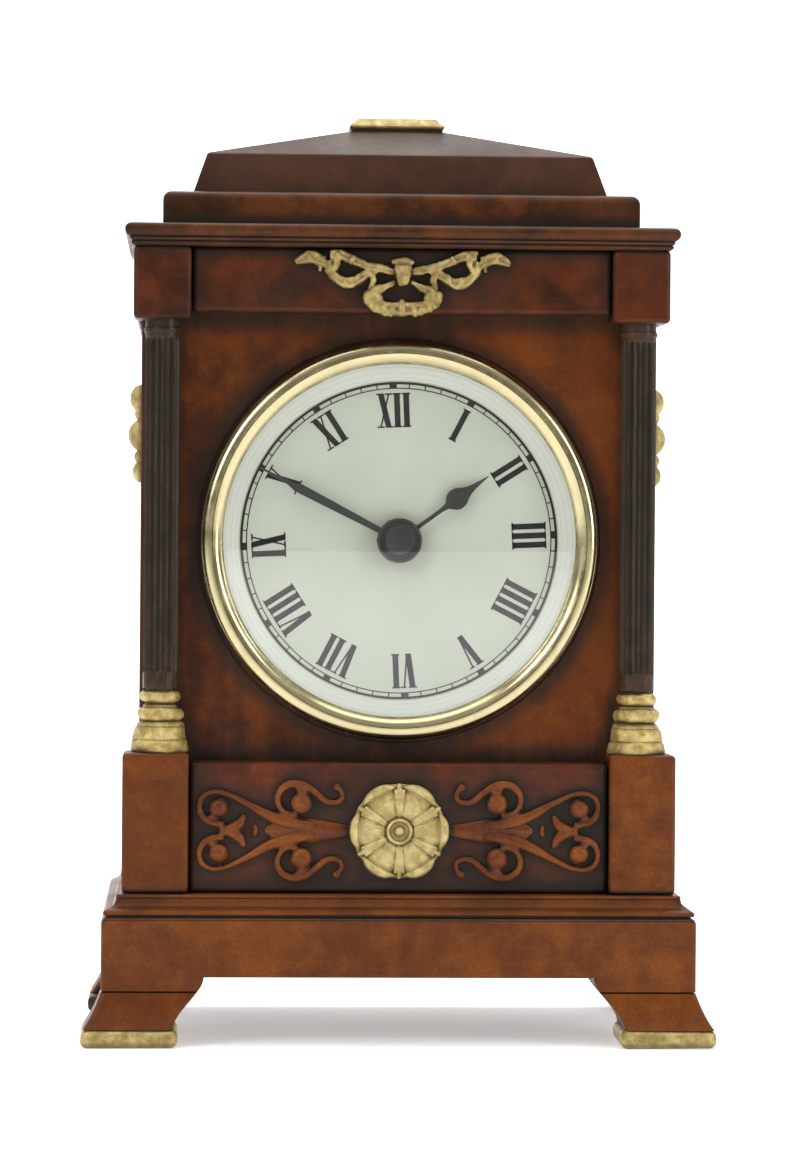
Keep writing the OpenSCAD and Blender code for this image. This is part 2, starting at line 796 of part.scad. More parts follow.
// Turned brass ring: a plain wall, a rounded crest with a groove, and a slope to the lens
module bezel() {
  outer_r = bezel_d / 2;
  inner_r = bezel_inner_d / 2;
  crest_r = 1.6;
  lens_seat = lens_back + lens_edge_t;
  color(brass) before_panel(0) difference() {
    union() {
      rotate_extrude() band_2d(flange_r, outer_r, -counterbore_d, bezel_front - crest_r);
      rotate_extrude() band_2d(lens_r, outer_r - 1, flange_front, bezel_front - crest_r);
      rotate_extrude() band_2d(inner_r + 0.4, lens_r + 1, flange_front, lens_back);
      rotate_extrude() polygon([[inner_r, lens_seat], [outer_r - 2 * crest_r, bezel_front],
        [outer_r - crest_r, bezel_front - crest_r], [outer_r - crest_r, lens_seat]]);
      rotate_extrude() translate([outer_r - crest_r, bezel_front - crest_r]) circle(r = crest_r);
    }
    rotate_extrude() translate([outer_r - 3.2, bezel_front + 0.1]) circle(r = 0.4);
  }
}

// Domed glass with a flat edge that the bezel clamps
module lens() {
  dome_r = bezel_inner_d / 2 - 1;
  outer_sphere = (pow(dome_r, 2) + pow(lens_rise, 2)) / (2 * lens_rise);
  centre_h = lens_back + lens_edge_t + lens_rise - outer_sphere;
  color("lightblue", 0.35) before_panel(0) rotate_extrude() difference() {
    union() {
      band_2d(0, lens_r, lens_back, lens_back + lens_edge_t);
      intersection() {
        translate([0, centre_h]) circle(r = outer_sphere, $fn = 360);
        band_2d(0, dome_r, lens_back, lens_back + lens_edge_t + lens_rise + 1);
      }
    }
    intersection() {
      translate([0, centre_h]) circle(r = outer_sphere - lens_t, $fn = 360);
      band_2d(-1, dome_r - 0.6, lens_back - 1, lens_back + lens_edge_t + lens_rise + 1);
    }
  }
}

// White ring that slopes from the dial up to the lens
module rehaut_ring() {
  color(ivory) before_panel(0) rotate_extrude() polygon([
    [dial_view_d / 2, dial_front], [bezel_inner_d / 2, dial_front],
    [bezel_inner_d / 2, lens_back], [dial_view_d / 2 + 0.5, dial_front + 0.6],
  ]);
}

module dial() {
  color(ivory) before_panel(flange_front) difference() {
    cylinder(d = bezel_inner_d + 0.6, h = dial_t);
    translate([0, 0, -1]) cylinder(r = bush_r + 0.1, h = dial_t + 2);
  }
}

// Cup that passes through the front panel, with a flange behind the dial
module insert_cup() {
  color(moulded_black) before_panel(0) rotate_extrude() {
    band_2d(cup_d / 2 - cup_wall, flange_r, -counterbore_d, flange_front);
    band_2d(cup_d / 2 - cup_wall, cup_d / 2, -cup_depth, -counterbore_d);
  }
}

// Rubber band that holds the cup in the hole
module grip_band() {
  color("dimgray") before_panel(0) rotate_extrude()
    band_2d(cup_d / 2, cup_d / 2 + grip_t, -panel_t, -counterbore_d);
}

// ---------------------------------------------------------------- hands

// Spade hour hand: a hub with the pipe's hole, a stem, a round bulb and a long tip
module hour_hand() {
  bulb_at = 18.2;
  bulb_r = 2.7;
  stem_w = 1.2;
  tip = [[-2.2, bulb_at + 1.2], [-0.9, bulb_at + 4.2], [0, hour_hand_l], [0.9, bulb_at + 4.2],
    [2.2, bulb_at + 1.2]];
  color(hand_black) before_panel(hour_hand_back) rotate(-hour_angle) difference() {
    union() {
      cylinder(d = hour_hub_d, h = hand_t);
      translate([-stem_w / 2, 0, 0]) cube([stem_w, bulb_at, hand_t]);
      translate([0, bulb_at, 0]) cylinder(r = bulb_r, h = hand_t);
      linear_extrude(hand_t) polygon(tip);
    }
    translate([0, 0, -1]) cylinder(r = pipe_r, h = hand_t + 2);
  }
}

// Minute hand: a boss, and a blade that widens to a shoulder before its tip
module minute_hand() {
  hub_w = 1.4;
  shoulder_w = 2.4;
  shoulder_at = 28.8;
  tip_w = 1.1;
  color(hand_black) difference() {
    union() {
      before_panel(minute_hand_back) rotate(-minute_angle) linear_extrude(hand_t) polygon([
        [-hub_w / 2, 0], [-shoulder_w / 2, shoulder_at], [-tip_w / 2, shoulder_at + 2],
        [0, minute_hand_l], [tip_w / 2, shoulder_at + 2], [shoulder_w / 2, shoulder_at],
        [hub_w / 2, 0],
      ]);
      before_panel(hub_back) cylinder(d = hub_d, h = hub_front - hub_back);
    }
    before_panel(hub_back - 1) cylinder(r = arbor_r, h = 4);
  }
}

// Domed nut on the end of the centre arbor
module hand_nut() {
  color(hand_black) before_panel(hub_front) rotate_extrude() difference() {
    union() {
      band_2d(0, hand_nut_d / 2, 0, 0.5);
      band_2d(0, hand_nut_d / 2 - 0.5, 0.5, hand_nut_front - hub_front);
      translate([hand_nut_d / 2 - 0.5, 0.5]) circle(r = 0.5);
    }
    band_2d(-1, arbor_r, -1, 0.6);
  }
}

// Hexagonal brass nut that clamps the dial to the movement
module dial_nut() {
  color(brass) before_panel(dial_front) difference() {
    cylinder(d = 12, h = nut_t, $fn = 6);
    translate([0, 0, -1]) cylinder(r = bush_r, h = nut_t + 2);
  }
}

// ---------------------------------------------------------------- movement

// Housing with its bush, its gear cavity and the open battery bay below
module movement_housing() {
  half = movement_w / 2;
  outer_d = front_wall + cavity_d;
  color(moulded_black) difference() {
    union() {
      difference() {
        in_movement(cavity_d) translate([-half, -movement_down, 0])
          cube([movement_w, movement_down + movement_up, outer_d]);
        in_movement(cavity_d + 1) translate([wall - half, cavity_floor, 0])
          cube([movement_w - 2 * wall, movement_up - wall - cavity_floor, cavity_d + 1]);
        in_movement(cavity_d + 1) translate([wall - half, wall - movement_down, 0])
          cube([movement_w - 2 * wall, bay_h, cavity_d + 1]);
      }
      in_movement(-front_wall) cylinder(r = bush_r, h = bush_front - flange_front);
      for (x = [-screw_x, screw_x], z = screw_z)
        in_movement(cavity_d, [x, z]) cylinder(r = screw_post_r, h = cavity_d + 0.2);
      for (z = [board_z[0] + 1.5, board_z[1] - 1.5])
        in_movement(board_level, [board_x[1] - 1.5, z]) cylinder(r = 1.2, h = board_level + 0.2);
      in_movement(stator_level, [-17, 14]) cylinder(r = 1, h = stator_level + 0.2);
      in_movement(minute_level + wheel_t + 0.4, minute_wheel_at)
        cylinder(r = centre_pivot_r - 0.05, h = minute_level + wheel_t + 0.6);
    }
    in_movement(1) cylinder(r = bush_bore_r, h = front_wall + bush_front + 2);
    for (x = [-screw_x, screw_x], z = screw_z)
      in_movement(cavity_d + 1, [x, z]) cylinder(r = screw_r, h = 7);
    for (at = [third_at, seconds_at, intermediate_at, rotor_at])
      in_movement(0, at) cylinder(r = pivot_bore_r, h = pivot_bore_l);
    in_movement(0, knob_at) cylinder(r = centre_pivot_bore_r, h = pivot_bore_l);
  }
}

// Rear plate of the movement, with the rear bearings and the hole for the setting shaft
module movement_cover() {
  half = movement_w / 2;
  color(moulded_black) difference() {
    in_movement(cavity_d + cover_t) translate([-half, cavity_floor - wall, 0])
      cube([movement_w, movement_up - cavity_floor + wall, cover_t]);
    for (at = [third_at, seconds_at, intermediate_at, rotor_at])
      in_movement(cavity_d + pivot_bore_l, at) cylinder(r = pivot_bore_r, h = pivot_bore_l + 1);
    in_movement(cavity_d + pivot_bore_l) cylinder(r = centre_pivot_bore_r, h = pivot_bore_l + 1);
    in_movement(cavity_d + cover_t + 1, knob_at) cylinder(r = arbor_r + 0.1, h = cover_t + 2);
    for (x = [-screw_x, screw_x], z = screw_z)
      in_movement(cavity_d + cover_t + 1, [x, z]) cylinder(r = screw_r, h = cover_t + 2);
  }
}

// Four pan-head screws with cross slots
module cover_screws() {
  head_t = 1;
  shank_l = 6;
  color(steel) for (x = [-screw_x, screw_x], z = screw_z) difference() {
    union() {
      in_movement(cavity_d + cover_t + head_t, [x, z]) cylinder(r = screw_head_r, h = head_t);
      in_movement(cavity_d + cover_t + 0.1, [x, z]) cylinder(r = screw_r, h = shank_l);
    }
    in_movement(cavity_d + cover_t + head_t + 0.1, [x, z]) for (a = [0, 90]) rotate(a)
      translate([-1.1, -0.2, 0]) cube([2.2, 0.4, 0.6]);
  }
}

// Centre arbor: the hand seat, the thick part inside the hour pipe, the cannon pinion and
// the thin rear part that the centre wheel grips with a sliding fit
module centre_arbor() {
  seat = hub_front + 0.6 - flange_front + front_wall;
  thick = hub_back - 0.1 - flange_front + front_wall;
  color(steel) {
    in_movement(cavity_d - 0.05) cylinder(r = arbor_r, h = cavity_d - 0.05 + seat);
    in_movement(minute_level - 0.2) cylinder(r = cannon_r, h = minute_level - 0.2 + thick);
    in_movement(cavity_d + pivot_l) cylinder(r = centre_pivot_r, h = 2);
    in_movement(minute_level + wheel_t) linear_extrude(wheel_t + 0.1)
      gear_2d(cannon_n, motion_m, 0, arbor_r / 2);
  }
}

// Hour wheel and its pipe, which runs in the bush and carries the hour hand
module hour_wheel() {
  pipe_l = pipe_front - flange_front + front_wall + hour_level;
  color(gear_white) {
    in_movement(hour_level + wheel_t) linear_extrude(wheel_t)
      gear_2d(hour_wheel_n, hour_m, hour_wheel_phase + 180, pipe_bore_r);
    in_movement(hour_level + 0.1) linear_extrude(pipe_l + 0.1) difference() {
      circle(r = pipe_r);
      circle(r = pipe_bore_r);
    }
  }
}

// Minute wheel and pinion on their fixed post
module minute_wheel() {
  color(gear_white) {
    in_movement(minute_level + wheel_t, minute_wheel_at) linear_extrude(wheel_t)
      gear_2d(minute_wheel_n, motion_m, minute_wheel_phase, centre_pivot_r);
    in_movement(minute_level + 0.1, minute_wheel_at) linear_extrude(minute_level - hour_level + 0.1)
      gear_2d(minute_pinion_n, hour_m, 0, centre_pivot_r);
  }
}

// Knurled knob at the rear, its shaft and the pinion that turns the minute wheel
module setting_knob() {
  knob_front = cavity_d + cover_t + 0.3;
  color(moulded_black) {
    in_movement(knob_front + setting_knob_h, knob_at) linear_extrude(setting_knob_h) difference() {
      circle(r = setting_knob_r);
      for (i = [0 : knob_notches - 1]) rotate(i * 360 / knob_notches)
        translate([setting_knob_r + 0.2, 0]) circle(r = 0.4);
    }
    in_movement(knob_front + 0.1, knob_at) cylinder(r = arbor_r, h = knob_front);
    in_movement(1, knob_at) cylinder(r = centre_pivot_r, h = 1 + pivot_l);
    in_movement(minute_level + wheel_t, knob_at) linear_extrude(wheel_t)
      gear_2d(cannon_n, motion_m, knob_phase, arbor_r / 2);
  }
}

// Centre wheel: turned by the train, it carries the arbor round by friction
module centre_wheel() {
  color(gear_white) {
    in_movement(centre_level + wheel_t) linear_extrude(wheel_t)
      gear_2d(centre_n, centre_m, 0, arbor_r + 0.05);
    in_movement(third_level - 0.3) linear_extrude(third_level - 0.3 - centre_level) difference() {
      circle(r = 1.5);
      circle(r = arbor_r + 0.05);
    }
  }
}

// A wheel and the pinion that drives the next one, on a pivoted arbor
module wheel_and_pinion(at, wheel_n, m, wheel_level, pinion_m, pinion_level, phase) {
  pivoted_arbor(at, 0.5);
  in_movement(wheel_level + wheel_t, at) linear_extrude(wheel_t) gear_2d(wheel_n, m, 0, 0.3);
  in_movement(wheel_level + 0.1, at) linear_extrude(wheel_level + 0.2 - pinion_level)
    gear_2d(pinion_n, pinion_m, phase, 0.3);
}

module third_wheel() {
  color(gear_white) wheel_and_pinion(third_at, third_n, train_m, third_level,
    centre_m, centre_level, third_pinion_phase);
}

module seconds_wheel() {
  color(gear_white) wheel_and_pinion(seconds_at, seconds_n, train_m, seconds_level,
    train_m, third_level, seconds_pinion_phase);
}

module intermediate_wheel() {
  color(gear_white) wheel_and_pinion(intermediate_at, intermediate_n, train_m,
    intermediate_level, train_m, seconds_level, intermediate_pinion_phase);
}

// Magnet of the stepping motor with its pinion
module rotor() {
  color("dimgray") {
    pivoted_arbor(rotor_at, 0.5);
    in_movement(rotor_level + magnet_t, rotor_at) cylinder(r = magnet_r, h = magnet_t);
    in_movement(rotor_level + 0.1, rotor_at)
      linear_extrude(rotor_level - intermediate_level + 0.2)
        gear_2d(pinion_n, train_m, rotor_pinion_phase, 0.3);
  }
}

// Iron plate round the rotor, its two arms and the core that passes through the coil
module stator() {
  plate_t = 0.8;
  arm = 3;
  core_z = [coil_z[0] - arm, coil_z[1] + arm];
  color(steel) {
    in_movement(stator_level + plate_t) linear_extrude(plate_t) difference() {
      union() {
        translate(rotor_at) circle(r = 4.6);
        translate([coil_x - 2, coil_z[1] + 1]) square([rotor_at[0] - coil_x, arm]);
        translate([-17.8, core_z[0]]) square([2.6, 16.4]);
        translate([-17.8, 8]) square([6, 2]);
        translate([coil_x - 2, core_z[0]]) square([6, 2.6]);
      }
      translate(rotor_at) circle(r = magnet_r + 0.4);
      translate(intermediate_at) circle(r = 0.9);
    }
    translate([coil_x, inner_y + stator_level + plate_t / 2, dial_z + core_z[0]])
      cylinder(r = core_r, h = core_z[1] - core_z[0] + 0.6);
  }
}

// Winding between the two cheeks of its bobbin
module coil() {
  cheek_t = 0.8;
  color("peru") translate([coil_x, inner_y + stator_level + 0.4, dial_z + coil_z[0]])
    difference() {
      union() {
        cylinder(r = coil_r - 0.4, h = coil_z[1] - coil_z[0]);
        for (z = [0, coil_z[1] - coil_z[0] - cheek_t]) translate([0, 0, z])
          cylinder(r = coil_r, h = cheek_t);
      }
      translate([0, 0, -1]) cylinder(r = core_r, h = coil_z[1] - coil_z[0] + 2);
    }
}

// Circuit board with its chip drop and the can of the timing crystal
module circuit_board() {
  board_t = 0.6;
  color("darkgreen") {
    in_movement(board_level + board_t) translate([board_x[0], board_z[0], 0])
      cube([board_x[1] - board_x[0], board_z[1] - board_z[0], board_t]);
    in_movement(board_level, [14, 0]) cylinder(r = 2.8, h = 1);
    translate([14, inner_y + board_level - 0.9, dial_z + 6]) cylinder(r = 1, h = 6);
  }
}

// Size AA cell, with its contact cap toward +X
module battery() {
  cap_l = 1.3;
  color("slategray") translate([-cell_l / 2, inner_y + cell_depth, dial_z + cell_z])
    rotate([0, 90, 0]) {
      cylinder(d = cell_d, h = cell_l - cap_l);
      cylinder(r = 2.7, h = cell_l);
    }
}

// Sprung contact plates at the ends of the bay
module battery_contacts() {
  half = movement_w / 2 - wall;
  plate_t = 0.4;
  color(steel) for (s = [-1, 1]) on_side(s) {
    translate([half - plate_t, inner_y + cell_depth - 4, dial_z + cell_z - 4])
      cube([plate_t, 8, 8]);
    translate([cell_l / 2 + 0.05, inner_y + cell_depth, dial_z + cell_z]) rotate([0, 90, 0])
      cylinder(r = 2, h = half - cell_l / 2 - 0.05);
  }
}

plinth();
foot_front_left();
foot_front_right();
foot_rear_left();
foot_rear_right();
foot_bands();
base_moulding();
pedestal_left();
pedestal_right();
side_rails();
lower_panel();
scroll_carvings();
rosette();
front_panel();
side_panel_left();
side_panel_right();
column_left();
column_right();
column_base_left();
column_base_right();
corner_block_left();
corner_block_right();
frieze_panel();
swag_mount();
cornice();
top_step();
roof();
roof_cap();
side_drops();
rear_door();
door_pins();
door_knob();
bezel();
lens();
rehaut_ring();
dial();
insert_cup();
grip_band();
hour_hand();
minute_hand();
hand_nut();
dial_nut();
movement_housing();
movement_cover();
cover_screws();
centre_arbor();
hour_wheel();
minute_wheel();
setting_knob();
centre_wheel();
third_wheel();
seconds_wheel();
intermediate_wheel();
rotor();
stator();
coil();
circuit_board();
battery();
battery_contacts();
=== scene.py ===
"""Looks of a mantel clock: lacquered case, gilt mounts, brass bezel, painted dial and hands.

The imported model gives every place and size. Each sub-assembly is a class that models its
pieces with Blender's operators and dresses them with procedural finishes.
"""

import logging
import math
from dataclasses import dataclass
from enum import Enum
from functools import cache

import bpy
from mathutils import Matrix, Vector


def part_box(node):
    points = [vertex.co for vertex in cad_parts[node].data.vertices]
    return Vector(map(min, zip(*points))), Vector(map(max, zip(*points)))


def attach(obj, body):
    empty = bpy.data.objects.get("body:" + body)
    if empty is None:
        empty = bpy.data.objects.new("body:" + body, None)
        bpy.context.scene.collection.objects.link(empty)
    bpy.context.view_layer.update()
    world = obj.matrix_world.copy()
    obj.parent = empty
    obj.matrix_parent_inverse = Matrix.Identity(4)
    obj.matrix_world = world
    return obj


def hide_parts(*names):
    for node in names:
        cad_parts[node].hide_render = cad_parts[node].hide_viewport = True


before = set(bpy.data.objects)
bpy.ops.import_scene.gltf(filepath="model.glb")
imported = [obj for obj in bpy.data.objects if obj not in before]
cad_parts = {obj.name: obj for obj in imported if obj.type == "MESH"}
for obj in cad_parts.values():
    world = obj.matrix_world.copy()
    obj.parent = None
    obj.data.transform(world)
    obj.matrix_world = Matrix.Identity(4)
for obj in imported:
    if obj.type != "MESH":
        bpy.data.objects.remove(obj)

LOG = logging.getLogger("mantel_clock")
MM = 0.001
FULL_TURN = 2 * math.pi
Colour = tuple[float, float, float]
Point = tuple[float, float]
Point3 = tuple[float, float, float]


# ------------------------------------------------------------------ small geometry


@dataclass(frozen=True)
class Ring:
    """One rectangular level of a stacked block, in millimetres."""

    x0: float
    x1: float
    y0: float
    y1: float
    z: float

    @property
    def centre(self) -> Vector:
        """Middle of the level, in metres."""
        return Vector(((self.x0 + self.x1) / 2, (self.y0 + self.y1) / 2, self.z)) * MM

    @property
    def width(self) -> float:
        """Size along X, in metres."""
        return (self.x1 - self.x0) * MM

    @property
    def depth(self) -> float:
        """Size along Y, in metres."""
        return (self.y1 - self.y0) * MM


def arc(centre: Point, radius: float, start: float, end: float, steps: int) -> list[Point]:
    """Points along an arc.

    Args:
        centre: Middle of the arc.
        radius: Its radius.
        start: First angle, in degrees.
        end: Last angle, in degrees.
        steps: Number of stretches.

    Returns:
        steps + 1 points.
    """
    angles = [math.radians(start + (end - start) * i / steps) for i in range(steps + 1)]
    return [(centre[0] + radius * math.cos(a), centre[1] + radius * math.sin(a)) for a in angles]


def box_mm(node: str) -> tuple[Vector, Vector]:
    """Lowest and highest corners of a node, in millimetres."""
    low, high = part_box(node)
    return Vector(low) / MM, Vector(high) / MM


# ------------------------------------------------------------------ the bench


class Bench:
    """The modeller's hand tools: Blender's operators under plain names."""

    @staticmethod
    def clear() -> None:
        """Leaves edit mode with nothing selected."""
        if bpy.context.object and bpy.context.object.mode != "OBJECT":
            bpy.ops.object.mode_set(mode="OBJECT")
        bpy.ops.object.select_all(action="DESELECT")

    @staticmethod
    def pick(obj: bpy.types.Object) -> None:
        """Makes one object the only selected and active one."""
        Bench.clear()
        obj.select_set(True)
        bpy.context.view_layer.objects.active = obj

    @staticmethod
    def edit(obj: bpy.types.Object, kind: str = "VERT") -> None:
        """Opens an object in edit mode with nothing selected."""
        Bench.pick(obj)
        bpy.ops.object.mode_set(mode="EDIT")
        bpy.ops.mesh.select_mode(type=kind)
        bpy.ops.mesh.select_all(action="DESELECT")

    @staticmethod
    def edit_all(obj: bpy.types.Object) -> None:
        """Opens an object in edit mode with all of it selected."""
        Bench.edit(obj)
        bpy.ops.mesh.select_all(action="SELECT")

    @staticmethod
    def leave() -> None:
        """Goes back from edit mode to object mode."""
        bpy.ops.object.mode_set(mode="OBJECT")

    @staticmethod
    def shade(obj: bpy.types.Object, angle: float) -> bpy.types.Object:
        """Shades edges flatter than an angle in degrees as smooth."""
        Bench.pick(obj)
        bpy.ops.object.shade_smooth_by_angle(angle=math.radians(angle))
        return obj

    @staticmethod
    def ease_edges(obj: bpy.types.Object, test, width: float, segments: int) -> None:
        """Rounds the edges whose two ends pass a test, width in millimetres."""
        Bench.select(obj, "EDGE", test)
        bpy.ops.mesh.bevel(offset=width * MM, segments=segments, affect="EDGES")
        Bench.leave()

    @staticmethod
    def select(obj: bpy.types.Object, kind: str, test) -> None:
        """Opens an object in edit mode with some of its elements selected by place.

        Args:
            obj: The mesh object.
            kind: VERT, EDGE or FACE.
            test: Function of an element's middle, in millimetres, and for a face its normal.
        """
        Bench.edit(obj, kind)
        Bench.leave()
        mesh = obj.data
        if kind == "FACE":
            for face in mesh.polygons:
                face.select = bool(test(obj.matrix_world @ face.center / MM, face.normal))
        elif kind == "EDGE":
            for edge in mesh.edges:
                ends = [obj.matrix_world @ mesh.vertices[i].co / MM for i in edge.vertices]
                edge.select = bool(test(ends[0], ends[1]))
        else:
            for vertex in mesh.vertices:
                vertex.select = bool(test(obj.matrix_world @ vertex.co / MM))
        bpy.ops.object.mode_set(mode="EDIT")

    @staticmethod
    def close(obj: bpy.types.Object, name: str, smooth: float) -> bpy.types.Object:
        """Ends the modelling of a piece: one skin, normals out, place in the mesh.

        Args:
            obj: The piece.
            name: Its name.
            smooth: Largest angle that is shaded smooth, in degrees.

        Returns:
            The same object.
        """
        if obj.mode != "EDIT":
            Bench.edit(obj)
        bpy.ops.mesh.select_all(action="SELECT")
        bpy.ops.mesh.remove_doubles(threshold=0.000001)
        bpy.ops.mesh.normals_make_consistent(inside=False)
        Bench.leave()
        Bench.pick(obj)
        bpy.ops.object.transform_apply(location=True, rotation=True, scale=True)
        obj.name = name
        obj.data.name = name
        bpy.ops.object.shade_smooth_by_angle(angle=math.radians(smooth))
        return obj

    @staticmethod
    def stack(name: str, rings: list[Ring], smooth: float = 35.0) -> bpy.types.Object:
        """A closed block made by raising a rectangle from level to level."""
        Bench.clear()
        first = rings[0]
        bpy.ops.mesh.primitive_plane_add(size=1.0, location=first.centre)
        obj = bpy.context.object
        bpy.ops.object.mode_set(mode="EDIT")
        size = (first.width, first.depth, 1.0)
        bpy.ops.transform.resize(value=size, center_override=first.centre)
        for low, high in zip(rings, rings[1:]):
            step = high.centre - low.centre
            bpy.ops.mesh.extrude_region_move(TRANSFORM_OT_translate={"value": step})
            size = (high.width / low.width, high.depth / low.depth, 1.0)
            bpy.ops.transform.resize(value=size, center_override=high.centre)
        return Bench.close(obj, name, smooth)

    @staticmethod
    def trace(points: list[Vector]) -> bpy.types.Object:
        """A line of vertices through points, in metres, left open in edit mode."""
        Bench.clear()
        bpy.ops.mesh.primitive_plane_add(size=0.001, location=points[0])
        obj = bpy.context.object
        bpy.ops.object.mode_set(mode="EDIT")
        bpy.ops.mesh.select_mode(type="VERT")
        bpy.ops.mesh.select_all(action="SELECT")
        bpy.ops.mesh.merge(type="CENTER")
        for start, end in zip(points, points[1:]):
            bpy.ops.mesh.extrude_vertices_move(TRANSFORM_OT_translate={"value": end - start})
        return obj

    @staticmethod
    def lathe(name: str, profile: list[Point], place: Point3, facing: str = "Z",
              steps: int = 96, smooth: float = 40.0) -> bpy.types.Object:
        """A turned piece.

        Args:
            name: Its name.
            profile: Radius and height of each point, in millimetres.
            place: Foot of the axis, in millimetres.
            facing: Z for an upright axis, FRONT for one toward the viewer, REAR for one away.
            steps: Stretches round the axis.
            smooth: Largest angle that is shaded smooth, in degrees.

        Returns:
            The closed piece.
        """
        rise = {"Z": Vector((0, 0, 1)), "FRONT": Vector((0, -1, 0)), "REAR": Vector((0, 1, 0))}[facing]
        base = Vector(place)
        points = [(base + Vector((r, 0, 0)) + rise * h) * MM for r, h in profile]
        obj = Bench.trace(points)
        bpy.ops.mesh.select_all(action="SELECT")
        bpy.ops.mesh.spin(steps=steps, angle=FULL_TURN, center=base * MM, axis=rise)
        return Bench.close(obj, name, smooth)

    @staticmethod
    def plate(name: str, outline: list[Point], face_y: float, height: float,
              centre: Point = (0.0, 0.0), smooth: float = 35.0) -> bpy.types.Object:
        """A flat piece cut to an outline that faces the viewer.

        Args:
            name: Its name.
            outline: X and Z of each corner from the centre, in millimetres.
            face_y: Plane of its back, in millimetres.
            height: Thickness toward the viewer, in millimetres.
            centre: X and Z of the centre, in millimetres.
            smooth: Largest angle that is shaded smooth, in degrees.

        Returns:
            The closed piece.
        """
        points = [Vector((centre[0] + x, face_y, centre[1] + z)) * MM for x, z in outline]
        obj = Bench.trace(points)
        bpy.ops.mesh.select_all(action="SELECT")
        bpy.ops.mesh.edge_face_add()
        bpy.ops.mesh.extrude_region_move(TRANSFORM_OT_translate={"value": (0, -height * MM, 0)})
        return Bench.close(obj, name, smooth)

    @staticmethod
    def stroke(path: list[Point3], radii: list[float], flat: float = 1.0) -> bpy.types.Object:
        """A rounded stroke of changing thickness, as laid by a carver's gouge.

        Args:
            path: Points in millimetres.
            radii: Half thickness at each point, in millimetres.
            flat: Factor on its depth toward the viewer.

        Returns:
            The stroke as a mesh.
        """
        Bench.clear()
        bpy.ops.curve.primitive_nurbs_path_add()
        obj = bpy.context.object
        curve = obj.data
        curve.splines.clear()
        line = curve.splines.new("NURBS")
        line.points.add(len(path) - 1)
        for knot, place, radius in zip(line.points, path, radii):
            knot.co = (*(Vector(place) * MM), 1.0)
            knot.radius = radius
        line.order_u = 3
        line.use_endpoint_u = True
        line.resolution_u = 5
        curve.bevel_depth = MM
        curve.bevel_resolution = 2
        curve.use_fill_caps = True
        bpy.ops.object.convert(target="MESH")
        obj = bpy.context.object
        if flat != 1.0:
            middle = Vector(path[0]) * MM
            Bench.edit_all(obj)
            bpy.ops.transform.resize(value=(1, flat, 1), center_override=middle)
            Bench.leave()
        return obj

    @staticmethod
    def blob(place: Point3, radii: Point3, turn: float = 0.0) -> bpy.types.Object:
        """An egg-shaped lump.

        Args:
            place: Its middle, in millimetres.
            radii: Half sizes along X, Y and Z, in millimetres.
            turn: Turn about the viewing direction, in radians.

        Returns:
            The lump as a mesh.
        """
        Bench.clear()
        bpy.ops.mesh.primitive_uv_sphere_add(segments=20, ring_count=12, radius=MM)
        obj = bpy.context.object
        obj.matrix_world = (Matrix.Translation(Vector(place) * MM)
                            @ Matrix.Rotation(turn, 4, "Y") @ Matrix.Diagonal((*radii, 1.0)))
        bpy.ops.object.transform_apply(location=True, rotation=True, scale=True)
        return obj

    @staticmethod
    def join(name: str, parts: list[bpy.types.Object]) -> bpy.types.Object:
        """Several meshes in one object."""
        Bench.pick(parts[0])
        for part in parts[1:]:
            part.select_set(True)
        if len(parts) > 1:
            bpy.ops.object.join()
        obj = bpy.context.object
        obj.name = name
        obj.data.name = name
        return obj

    @staticmethod
    def apply(obj: bpy.types.Object, kind: str, **settings: object) -> None:
        """Adds a modifier with its settings and applies it."""
        Bench.pick(obj)
        modifier = obj.modifiers.new(kind.title(), kind)
        for key, value in settings.items():
            setattr(modifier, key, value)
        bpy.ops.object.modifier_apply(modifier=modifier.name)

    @staticmethod
    def fuse(name: str, parts: list[bpy.types.Object], voxel: float, smooth: int) -> bpy.types.Object:
        """Strokes and lumps melted into one casting.

        Args:
            name: Its name.
            parts: The strokes and lumps.
            voxel: Finest detail kept, in millimetres.
            smooth: Passes of smoothing.

        Returns:
            The casting.
        """
        obj = Bench.join(name, parts)
        Bench.apply(obj, "REMESH", mode="VOXEL", voxel_size=voxel * MM, use_smooth_shade=True)
        Bench.apply(obj, "SMOOTH", factor=0.5, iterations=smooth)
        Bench.pick(obj)
        bpy.ops.object.shade_smooth()
        return obj

    @staticmethod
    def soften(obj: bpy.types.Object, width: float, segments: int = 3,
               angle: float = 40.0) -> bpy.types.Object:
        """Rounds the sharp edges of a piece, width in millimetres."""
        Bench.apply(obj, "BEVEL", width=width * MM, segments=segments, limit_method="ANGLE",
                    angle_limit=math.radians(angle), use_clamp_overlap=True)
        return Bench.shade(obj, angle)

    @staticmethod
    def copy(obj: bpy.types.Object, name: str) -> bpy.types.Object:
        """A copy with a mesh of its own."""
        Bench.pick(obj)
        bpy.ops.object.duplicate(linked=False)
        twin = bpy.context.object
        twin.name = name
        twin.data.name = name
        return twin

    @staticmethod
    def move(obj: bpy.types.Object, matrix: Matrix) -> bpy.types.Object:
        """Moves a mesh by a matrix and leaves its object at the origin."""
        Bench.pick(obj)
        obj.matrix_world = matrix
        bpy.ops.object.transform_apply(location=True, rotation=True, scale=True)
        return obj

    @staticmethod
    def mirrored(obj: bpy.types.Object, name: str) -> bpy.types.Object:
        """A copy on the other side of the clock."""
        twin = Bench.copy(obj, name)
        Bench.edit_all(twin)
        bpy.ops.transform.resize(value=(-1, 1, 1), center_override=(0, 0, 0))
        bpy.ops.mesh.normals_make_consistent(inside=False)
        Bench.leave()
        return twin

